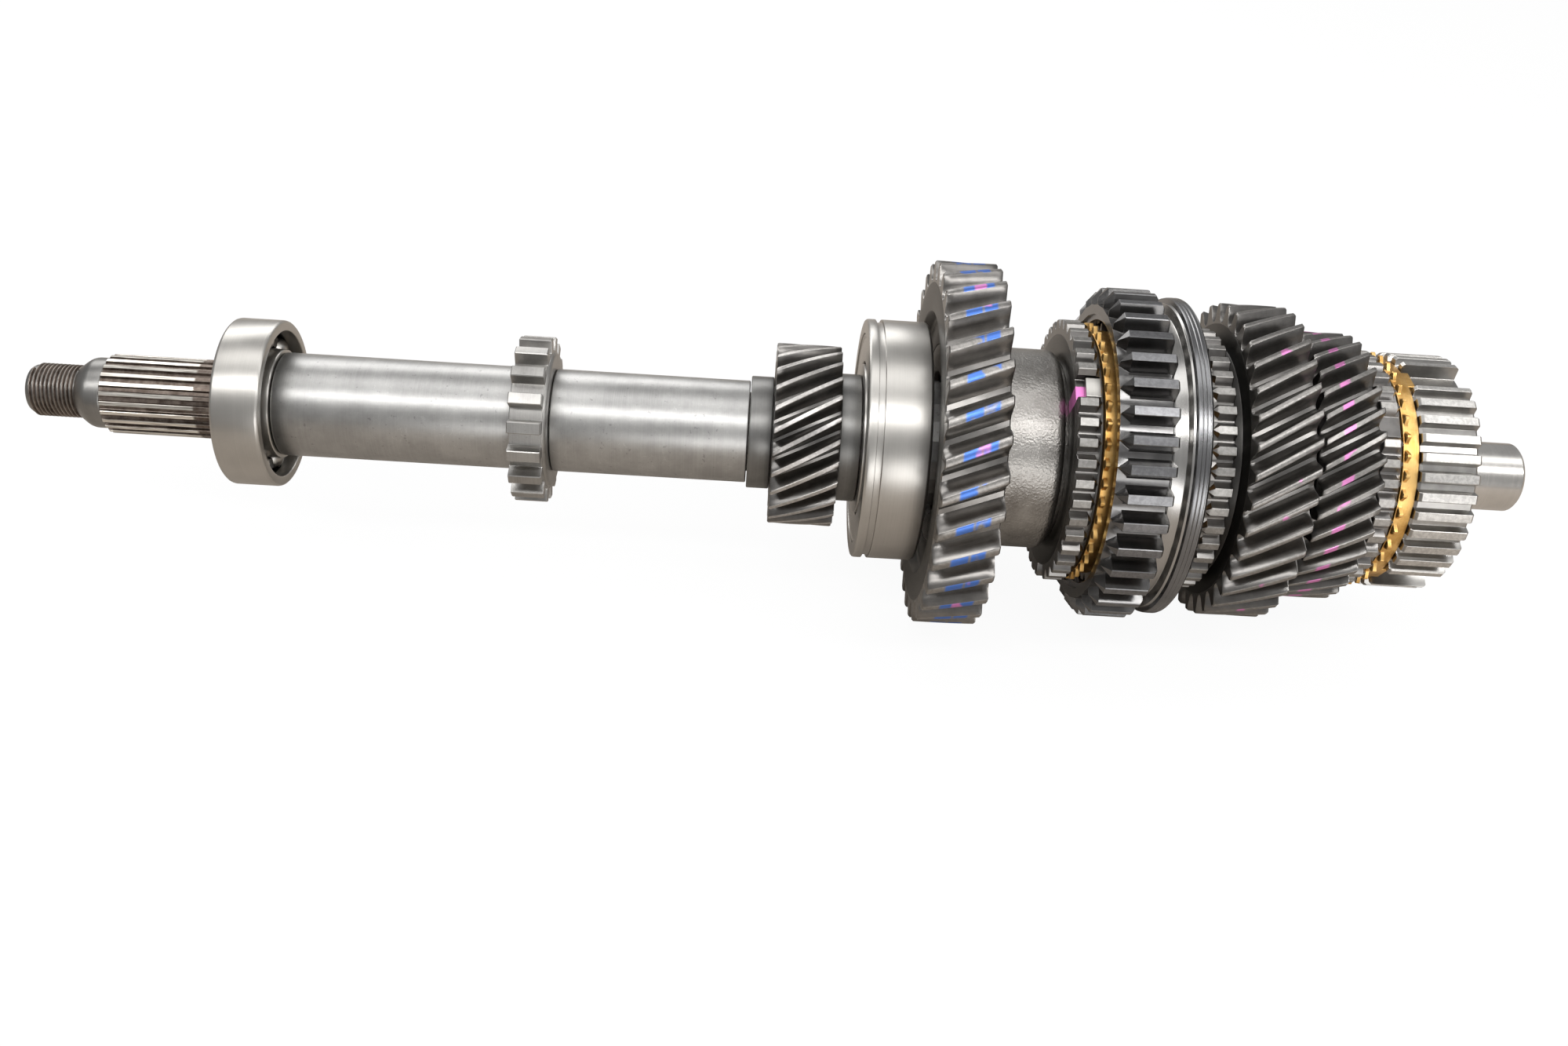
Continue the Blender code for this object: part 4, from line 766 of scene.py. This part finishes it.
FIFTH_STEEL = gear_steel("fifth gear steel", 34.0, flank=(0.17, 0.163, 0.155), top=(0.48, 0.46, 0.44))
FIRST_STEEL = gear_steel(
    "first gear steel", 68.0,
    [dab(BLUE, 338.5, 344.3, 0.34), dab(BLUE, 345.0, 349.8, 0.40), dab(PINK, 342.5, 347.6, 0.56)],
    flank=(0.195, 0.186, 0.176), top=(0.31, 0.296, 0.28),
)
SECOND_STEEL = gear_steel(
    "second gear steel", 59.0, [dab(PINK, 450.5, 456.0, 0.58)],
    flank=(0.17, 0.163, 0.155), top=(0.30, 0.287, 0.272),
)
THIRD_STEEL = gear_steel(
    "third gear steel", 50.5, [dab(PINK, 473.5, 477.5, 0.36)],
    flank=(0.17, 0.163, 0.155), top=(0.30, 0.287, 0.272),
)
CONE_STEEL = turned_steel(
    "first cone steel", (0.10, 0.096, 0.09), 0.38, clouds=0.10, paint=(PINK, 99.0, 104.6, -32.5, -23.5),
)
# Gear bodies and the cone ring are painted near black: painted shade for faces in the shadow of the teeth.
BODY_STEEL_PAINTED_SHADE = turned_steel("gear body steel with painted shade", (0.075, 0.072, 0.068), 0.40, clouds=0.10)

gear_ring(
    "fifth_gear_teeth", FIFTH_STEEL, "shaft", "fifth_gear",
    count=26, start=275.5, wide=24.0, radius=34.0, depth=5.5, helix=30.5, phase=5.4, inner=22.0,
)
fifth_body = turn("fifth_gear_body", at(275.4), [
    (0.0, 17.7, 0.3), (0.0, 27.6, 0.4), (24.2, 27.6, 0.4), (24.2, 17.7, 0.3),
])
dress(fifth_body, BODY_STEEL_PAINTED_SHADE, "shaft", "gear_steel")

gear_ring(
    "first_gear_teeth", FIRST_STEEL, "first_gear_set", "first_gear",
    count=32, start=332.3, wide=22.4, radius=68.0, depth=6.8, helix=23.5, phase=4.7, inner=52.0,
)
first_web = turn("first_gear_web", at(332.2), [
    (4.0, 37.3, 0.2), (4.0, 48.0, 1.0), (0.0, 49.5, 0.5), (0.0, 60.3, 0.4), (22.6, 60.3, 0.4),
    (22.6, 37.3, 0.2),
])
dress(first_web, BODY_STEEL_PAINTED_SHADE, "first_gear_set", "gear_steel")
neck = turn("first_gear_neck", at(336.3), [
    (0.0, 27.2, 0.3), (0.0, 37.2, 0.3), (18.4, 37.2, 0.1), (18.6, 40.6, 0.1), (21.4, 37.6, 1.4),
    (40.8, 37.6, 1.2), (42.7, 36.4, 0.6), (42.9, 33.5, 0.5), (61.8, 33.5, 0.2), (61.8, 27.2, 0.2),
])
dress(neck, BLASTED, "first_gear_set", "gear_steel", "first_gear_hub")

# %% [markdown]
# ## Clutch teeth of the first gear
#
# The sleeve slides over these teeth to lock the gear to the shaft. Three of them are missing, and a lug of
# the cone ring sits in each gap. The gaps are cut with a Boolean: one block is modelled and set round the
# shaft. A short list of steps shapes a tooth's end: a chamfer on the gear's side, a point on the sleeve's.

# %% Clutch teeth and cone ring
CLUTCH = 42
CLUTCH_PHASE = 115.5
HUB_SLOT = 178.0
CHAMFER_LEFT = [(-0.3, 0.993, 1, 1)]
CHAMFER_RIGHT = [(0.3, 0.993, 1, 1)]
POINT_RIGHT = [(1.5, 1, 0.15, 0.7)]
POINT_LEFT = [(-2.0, 1, 0.1, 0.75)]
DOG_STEEL = gear_steel("clutch teeth steel", 49.3, top=(0.31, 0.30, 0.285), flank=(0.17, 0.163, 0.156))


def blocks(name, x0, x1, low, high, wide, phase, edge=0.5):
    """Three rounded blocks round the shaft. Sizes are in mm, x along the shaft, phase in degrees."""
    fresh()
    bpy.ops.mesh.primitive_cube_add(size=1.0, location=(at((x0 + x1) / 2), 0, (low + high) / 2 * MM))
    piece = bpy.context.object
    piece.name = piece.data.name = name
    piece.scale = ((x1 - x0) * MM, wide * MM, (high - low) * MM)
    bpy.ops.object.transform_apply(location=True, rotation=True, scale=True)
    bpy.ops.object.mode_set(mode="EDIT")
    bpy.ops.mesh.select_all(action="SELECT")
    bpy.ops.mesh.bevel(offset=edge * MM, segments=3, affect="EDGES")
    bpy.ops.mesh.select_all(action="SELECT")
    bpy.ops.mesh.spin(dupli=True, steps=2, angle=4 * math.pi / 3, center=(0, 0, 0), axis=(1, 0, 0))
    bpy.ops.object.mode_set(mode="OBJECT")
    piece.rotation_euler.x = math.radians(phase - 90.0)
    return done(piece, 40.0)


def cut(piece, cutter):
    """Cut one piece out of another and delete the cutter."""
    apply(piece, "BOOLEAN", operation="DIFFERENCE", solver="EXACT", object=cutter)
    bpy.data.objects.remove(cutter)
    take(piece)
    bpy.ops.object.shade_smooth_by_angle(angle=math.radians(25.0))


dog_profile = [(49.3, 0), (49.3, 0.17), (49.15, 0.205), (46.9, 0.38), (46.35, 0.44), (46.3, 0.5)]
first_dog = toothed(
    "first_clutch_teeth", CLUTCH, at(380.9), dog_profile,
    (0.3, CHAMFER_LEFT, 6.6, POINT_RIGHT), inner=39.0, phase=math.radians(CLUTCH_PHASE),
)
cut(first_dog, blocks("notch_blocks", 380.0, 390.5, 43.7, 52.0, wide=8.9, phase=CLUTCH_PHASE, edge=0.3))
dress(first_dog, DOG_STEEL, "first_gear_set", "gear_steel", "first_clutch_ring")
first_cone = turn("first_cone_body", at(380.8), [
    (0.0, 33.7, 0.3), (0.0, 43.9, 0.3), (8.3, 43.9, 0.2), (8.3, 41.0, 0.2), (17.2, 40.2, 0.4),
    (17.2, 33.7, 0.3),
])
dress(first_cone, CONE_STEEL, "first_gear_set", "gear_steel")

lugs = blocks("cone_ring_lugs", 383.9, 389.6, 43.9, 46.4, wide=7.9, phase=CLUTCH_PHASE, edge=0.4)
dress(lugs, GROUND, "first_gear_set", "ground_steel")
cone_ring = turn("cone_ring_turned", at(389.1), [
    (0.0, 41.6, 0.1), (0.0, 46.2, 0.2), (0.9, 46.2, 0.2), (0.9, 43.4, 0.2), (8.7, 42.8, 0.2),
    (8.7, 40.9, 0.2),
])
dress(cone_ring, BODY_STEEL_PAINTED_SHADE, "first_gear_set", "ground_steel", "first_cone_ring")

# %% [markdown]
# ## Brass synchro rings
#
# A synchro ring is a turned brass band with small pointed teeth on its gear side and three lugs that reach
# into the hub. It rubs on the gear's cone and brings the gear up to speed. Teeth, band and lugs are separate
# pieces, as the band's edge hides the seam, and one recipe makes the rings of all three gears.

# %% Synchro rings
BAND_RADIUS = 46.0
LUG_WIDTH = 9.2


def small_teeth(name, body, count, start, wide, tip, root, phase):
    """The ring of small pointed teeth on a synchro ring. Sizes are in mm, phase in degrees."""
    profile = [(tip, 0), (tip, 0.05), (tip - 0.25, 0.10), (root + 0.3, 0.30), (root, 0.38), (root, 0.5)]
    ring = toothed(
        name, count, at(start), profile,
        (0.25, [(-0.25, 1, 0.6, 0.9)], wide - 0.25, [(0.25, 1, 0.6, 0.9)]),
        inner=root - 3.0, phase=math.radians(phase),
    )
    dress(ring, BRASS, body, "synchro_brass")


def clutch_ring_teeth(name, body, start):
    """The small teeth of a synchro ring beside the clutch teeth of the first or second gear."""
    small_teeth(
        name, body, CLUTCH, start, wide=1.9, tip=48.7, root=BAND_RADIUS - 0.1, phase=CLUTCH_PHASE,
    )


clutch_ring_teeth("first_synchro_teeth", "first_synchro", 390.9)
band = turn("first_synchro_band", at(390.75), [
    (0.0, 44.1, 0.1), (0.0, BAND_RADIUS, 0.3), (7.0, BAND_RADIUS, 0.5), (7.0, 43.5, 0.1),
])
dress(band, BRASS, "first_synchro", "synchro_brass", "first_synchro_ring")
band_lugs = blocks("first_synchro_lugs", 396.0, 400.4, 43.6, 45.7, wide=LUG_WIDTH, phase=HUB_SLOT)
dress(band_lugs, BRASS, "first_synchro", "synchro_brass")

clutch_ring_teeth("second_synchro_teeth", "second_synchro", 424.6)
band = turn("second_synchro_band", at(421.1), [
    (0.0, 43.5, 0.1), (0.0, BAND_RADIUS, 0.3), (6.2, BAND_RADIUS, 0.3), (6.2, 44.0, 0.1),
])
dress(band, BRASS, "second_synchro", "synchro_brass", "second_synchro_ring")
band_lugs = blocks("second_synchro_lugs", 418.9, 422.5, 43.8, 45.7, wide=LUG_WIDTH, phase=HUB_SLOT)
dress(band_lugs, BRASS, "second_synchro", "synchro_brass")

# %% [markdown]
# ## The 1-2 sliding sleeve
#
# The sleeve carries the reverse gear's teeth, pointed like arrows at their left ends so that they find their
# way into mesh. Behind them a polished groove holds the shift fork, and the flange after it has fine ridges.
# Its bore is left plain, a little wider than the clutch teeth that it slides over.

# %% Sliding sleeve
SLEEVE_STEEL = gear_steel(
    "sleeve steel", 62.1, flank=(0.15, 0.147, 0.145), top=(0.20, 0.20, 0.205), gloss=0.24,
)
POLISHED = turned_steel("polished groove steel", (0.42, 0.41, 0.395), 0.24, marks=3000.0, clouds=0.06)
RIDGED = turned_steel("ridged flange steel", (0.20, 0.20, 0.205), 0.26, marks=3000.0, clouds=0.06)
GROOVE = (412.4, 418.6)
SLEEVE_BORE = 49.9
sleeve = toothed(
    "sleeve_teeth", 38, at(393.3),
    [(62.1, 0), (62.1, 0.145), (61.85, 0.17), (58.6, 0.25), (56.3, 0.31), (55.55, 0.38), (55.5, 0.5)],
    (3.2, [(-3.2, 1, 0.05, 0.45)], 18.4, [(0.9, 0.985, 1, 0.93)]), inner=52.0, phase=math.radians(7.7),
)
dress(sleeve, SLEEVE_STEEL, "sliding_sleeve", "dark_steel", "sleeve_1_2")
sleeve_body = turn("sleeve_body", at(394.5), [
    (0.0, SLEEVE_BORE, 0.5), (0.0, 55.0, 0.4), (18.0, 55.0, 0.1), (18.3, 54.0, 0.3), (23.2, 54.0, 0.4),
    (23.6, 57.6, 0.2), (24.5, 57.8, 0.1), (24.7, 59.5, 0.2), (26.0, 59.8, 0.15), (26.25, 59.5, 0.05),
    (26.5, 59.8, 0.05), (27.4, 59.8, 0.05), (27.65, 59.5, 0.05), (27.9, 59.8, 0.05), (28.8, 59.8, 0.05),
    (29.05, 59.5, 0.05), (29.3, 59.6, 0.1), (30.2, 58.6, 0.2), (30.2, SLEEVE_BORE, 0.5),
])
dress(sleeve_body, POLISHED, "sliding_sleeve", "dark_steel")
sleeve_body.data.materials.append(RIDGED)
for face in sleeve_body.data.polygons:
    if face.center.x < at(GROOVE[0]) or face.center.x > at(GROOVE[1]):
        face.material_index = 1

# %% [markdown]
# ## Second gear
#
# The second gear faces the sleeve with its clutch teeth, pointed to the left. It turns freely on the shaft
# until the sleeve takes hold of them. It is built as the first gear was, from the same recipes.

# %% Second gear
second_dog = toothed(
    "second_clutch_teeth", CLUTCH, at(428.0), dog_profile,
    (2.0, POINT_LEFT, 8.1, CHAMFER_RIGHT), inner=39.0, phase=math.radians(CLUTCH_PHASE),
)
dress(second_dog, DOG_STEEL, "second_gear_set", "gear_steel")
gear_ring(
    "second_gear_teeth", SECOND_STEEL, "second_gear_set", "second_gear",
    count=36, start=440.2, wide=22.8, radius=59.0, depth=6.6, helix=32.0, phase=0.5, inner=44.5,
)
second_body = turn("second_gear_body", at(S_SECOND), [
    (0.0, 27.5, 0.2), (0.0, 42.7, 0.3), (428.6 - S_SECOND, 43.4, 0.2), (429.6 - S_SECOND, 45.9, 0.2),
    (436.5 - S_SECOND, 45.9, 0.2), (436.7 - S_SECOND, 44.0, 0.3), (440.0 - S_SECOND, 44.0, 0.3),
    (440.1 - S_SECOND, 51.6, 0.4), (463.1 - S_SECOND, 51.6, 0.4), (463.1 - S_SECOND, 27.5, 0.2),
])
dress(second_body, BODY_STEEL_PAINTED_SHADE, "second_gear_set", "gear_steel")

# %% [markdown]
# ## Third gear
#
# The third gear's clutch teeth point to the right, towards the 3-4 hub, and its brass ring sits between them
# and the hub. Teeth, body and ring come from the recipes above; only sizes and places are new.

# %% Third gear
FRONT = 39
FRONT_PHASE = 91.87
FRONT_SLOT = 92.4
THIRD_PHASE = 123.5
THIRD_DOG = gear_steel(
    "third clutch teeth steel", 45.0, top=(0.40, 0.385, 0.365), flank=(0.19, 0.182, 0.175),
)
gear_ring(
    "third_gear_teeth", THIRD_STEEL, "third_gear_set", "third_gear",
    count=35, start=467.3, wide=21.4, radius=50.5, depth=6.0, helix=32.0, phase=1.7, inner=38.0,
)
third_dog = toothed(
    "third_clutch_teeth", FRONT, at(489.8),
    [(45.0, 0), (45.0, 0.18), (44.85, 0.21), (42.9, 0.38), (42.35, 0.44), (42.3, 0.5)],
    (0.3, CHAMFER_LEFT, 5.9, POINT_RIGHT), inner=38.0, phase=math.radians(THIRD_PHASE),
)
cut(third_dog, blocks("third_notch_blocks", 488.0, 499.0, 41.9, 50.0, wide=8.0, phase=THIRD_PHASE, edge=0.3))
dress(third_dog, THIRD_DOG, "third_gear_set", "gear_steel")
third_body = turn("third_gear_body", at(467.2), [
    (0.0, 25.8, 0.2), (0.0, 44.0, 0.4), (21.7, 44.0, 0.4), (21.8, 41.7, 0.1), (30.0, 41.7, 0.2),
    (30.2, 39.8, 0.2), (36.8, 39.2, 0.3), (36.8, 25.8, 0.2),
])
dress(third_body, BODY_STEEL_PAINTED_SHADE, "third_gear_set", "gear_steel")
small_teeth(
    "third_synchro_teeth", "third_synchro", FRONT, 498.4, wide=1.7, tip=44.5, root=41.9, phase=FRONT_PHASE,
)
third_band = turn("third_synchro_band", at(498.1), [
    (0.0, 40.4, 0.1), (0.0, 42.0, 0.3), (5.9, 42.0, 0.5), (5.9, 39.9, 0.1),
])
dress(third_band, BRASS, "third_synchro", "synchro_brass", "third_synchro_ring")
third_lugs = blocks(
    "third_synchro_lugs", 501.5, 506.4, 39.5, 41.8, wide=9.0, phase=FRONT_SLOT, edge=0.4,
)
dress(third_lugs, BRASS, "third_synchro", "synchro_brass")

# %% [markdown]
# ## The 3-4 hub
#
# The hub is fixed on the shaft and would carry a sleeve. None is fitted here, so its splines show. Three
# slots for the keys are cut through them with a Boolean, as a slot's walls are flat and cross several teeth.

# %% 3-4 hub
HUB_STEEL = gear_steel("hub steel", 44.5, top=(0.62, 0.605, 0.58), flank=(0.34, 0.33, 0.315))
hub_teeth = toothed(
    "front_hub_teeth", FRONT, at(S_FRONT_HUB),
    [(44.5, 0), (44.5, 0.20), (44.35, 0.225), (42.0, 0.31), (41.7, 0.34), (41.7, 0.5)],
    (1.0, [(-1.0, 0.984, 1, 0.92)], 20.2, [(0.8, 0.986, 1, 0.94)]), inner=33.0,
    phase=math.radians(FRONT_PHASE),
)
cut(hub_teeth, blocks(
    "hub_slot_blocks", S_FRONT_HUB - 2, S_FRONT_HUB + 23, 38.5, 50.0, wide=13.0, phase=FRONT_SLOT, edge=0.3,
))
dress(hub_teeth, HUB_STEEL, "shaft", "ground_steel", "hub_3_4")
hub_body = turn("front_hub_body", at(S_FRONT_HUB - 0.08), [
    (0.0, 19.1, 0.4), (0.0, 38.3, 0.4), (21.15, 38.3, 0.4), (21.15, 36.8, 0.4), (15.2, 36.0, 0.8),
    (15.2, 25.0, 0.8), (21.15, 24.2, 0.4), (21.15, 19.1, 0.3),
])
dress(hub_body, HUB_STEEL, "shaft", "ground_steel")

# %% [markdown]
# ## Centre ball bearing
#
# The outer ring has a groove for a snap ring, and a pressed shield closes the left side. The shield's rolled
# edge leaves the dark arc that shows on the face.

# %% Centre ball bearing
centre_outer = turn("centre_outer_ring", at(S_CENTRE), [
    (0.0, 39.6, 0.3), (0.0, 45.0, 1.1), (3.6, 45.0, 0.15), (3.6, 43.8, 0.2), (6.0, 43.8, 0.2),
    (6.0, 45.0, 0.15), (23.0, 45.0, 1.1), (23.0, 38.6, 0.4), (16.0, 38.6, 0.1), (13.6, 40.4, 0.6),
    (9.4, 40.4, 0.6), (7.0, 38.6, 0.1), (1.9, 38.6, 0.2), (1.9, 39.6, 0.2),
])
dress(centre_outer, GROUND, "centre_bearing_outer", "ground_steel", "centre_bearing_outer_ring")
centre_inner = turn("centre_inner_ring", at(S_CENTRE), [
    (0.0, 19.8, 0.5), (23.0, 19.8, 0.5), (23.0, 28.1, 0.5), (16.0, 28.1, 0.1), (13.6, 26.3, 0.6),
    (9.4, 26.3, 0.6), (7.0, 28.1, 0.1), (0.0, 28.1, 0.5),
])
dress(centre_inner, GROUND, "shaft", "ground_steel", "centre_bearing_inner_ring")
shield = turn("centre_shield", at(S_CENTRE), [
    (1.5, 29.0, 0.1), (0.7, 29.2, 0.2), (0.5, 33.0, 0.3), (0.5, 37.4, 0.3), (1.0, 38.1, 0.2),
    (0.4, 38.7, 0.2), (0.4, 39.3, 0.1), (1.0, 39.3, 0.1), (1.5, 38.1, 0.1), (1.1, 37.2, 0.2),
    (1.1, 33.0, 0.2), (1.6, 29.4, 0.1),
])
dress(shield, GROUND, "centre_bearing_outer", "ground_steel", "centre_bearing_shield")

# %% [markdown]
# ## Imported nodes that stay
#
# Cages, needle rings, keys and springs hide inside. Their packed forms are kept, and each gets a finish that
# suits it.

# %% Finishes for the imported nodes
KEPT = [
    (CAGE, [
        "rear_bearing_cage", "centre_bearing_cage", "first_needle_cage", "second_needle_cage",
        "third_needle_cage", "key_spring_1", "key_spring_2", "hub_snap_ring",
    ]),
    (TUBE, ["first_gear_bush"]),
    (GROUND, [
        "hub_1_2", *[f"shifting_key_{i}" for i in (1, 2, 3)],
        *[f"centre_bearing_ball_{i}" for i in range(1, 9)],
    ]),
]
for finish, nodes in KEPT:
    for node in nodes:
        kept = bpy.data.objects[node]
        kept.data.materials.clear()
        kept.data.materials.append(finish)
print(sum(len(nodes) for _, nodes in KEPT), "packed nodes keep their form")

# %% [markdown]
# ## Floor, light and background
#
# The shaft lies on white. The floor could be left out, but then nothing would stand under the gears. So it is
# a plain sheet that glows white to the camera and is still a little shaded under the shaft. What the steel
# reflects is dimmer: the world at less than half its strength, and a floor of a warmer tone. Soft lamps leave
# long bright bands on the steel, as softboxes do. They reach past the shaft's ends, so no band stops short.

# %% Floor, world and lamps
FLOOR = -68.2 * MM
FLOOR_SIDE = 60.0
GLOW = 0.94
REFLECTED = 0.40
WHITE = (1.0, 1.0, 1.0, 1.0)
PAPER = (0.95, 0.95, 0.95, 1.0)
PAPER_IN_STEEL = (0.40, 0.355, 0.31, 1.0)
fresh()
bpy.ops.mesh.primitive_plane_add(size=FLOOR_SIDE, location=(0, 0, FLOOR))
floor = bpy.context.object
floor.name = floor.data.name = "floor"
paper = bpy.data.materials.new("white paper")
paper.use_nodes = True
tree = paper.node_tree
board = tree.nodes["Principled BSDF"]
tint = tree.nodes.new("ShaderNodeMix")
tint.data_type = "RGBA"
tint.inputs[6].default_value = PAPER_IN_STEEL
tint.inputs[7].default_value = PAPER
tree.links.new(tint.outputs[2], board.inputs["Base Color"])
board.inputs["Roughness"].default_value = 0.9
ray = tree.nodes.new("ShaderNodeLightPath")
glow = tree.nodes.new("ShaderNodeEmission")
glow.inputs["Color"].default_value = WHITE
mix = tree.nodes.new("ShaderNodeMixShader")
seen = tree.nodes.new("ShaderNodeMath")
seen.operation = "MULTIPLY"
seen.inputs[1].default_value = GLOW
tree.links.new(ray.outputs["Is Camera Ray"], seen.inputs[0])
tree.links.new(ray.outputs["Is Camera Ray"], tint.inputs[0])
tree.links.new(seen.outputs[0], mix.inputs[0])
tree.links.new(board.outputs[0], mix.inputs[1])
tree.links.new(glow.outputs[0], mix.inputs[2])
tree.links.new(mix.outputs[0], tree.nodes["Material Output"].inputs["Surface"])
floor.data.materials.append(paper)

world = bpy.data.worlds.new("studio")
bpy.context.scene.world = world
world.use_nodes = True
sky = world.node_tree
back = sky.nodes["Background"]
back.inputs["Color"].default_value = WHITE
path = sky.nodes.new("ShaderNodeLightPath")
level = sky.nodes.new("ShaderNodeMapRange")
level.inputs["To Min"].default_value = REFLECTED
level.inputs["To Max"].default_value = 1.0
sky.links.new(path.outputs["Is Camera Ray"], level.inputs["Value"])
sky.links.new(level.outputs["Result"], back.inputs["Strength"])


def lamp(name, place, aim, size, height, power):
    """A soft area lamp that looks at a point. Places and sizes are in metres, the power in watts."""
    light = bpy.data.lights.new(name, "AREA")
    light.shape = "RECTANGLE"
    light.size = size
    light.size_y = height
    light.energy = power
    body = bpy.data.objects.new(name, light)
    body.location = place
    body.rotation_euler = (Vector(aim) - Vector(place)).to_track_quat("-Z", "Y").to_euler()
    bpy.context.scene.collection.objects.link(body)


lamp("key", (0.35, -0.48, 0.8), (0.35, 0, 0), 3.0, 0.12, 13.6)
lamp("top", (0.35, 0.1, 1.0), (0.35, 0, 0), 2.6, 0.4, 6.8)
lamp("fill", (0.3, -1.0, 0.1), (0, 0, 0), 0.9, 0.3, 3.0)
lamp("rim", (-0.3, 0.8, 0.5), (0, 0, 0), 1.0, 0.4, 4.0)

bpy.context.scene.view_settings.view_transform = "Standard"
print(len(bpy.data.lights), "lamps over the floor")
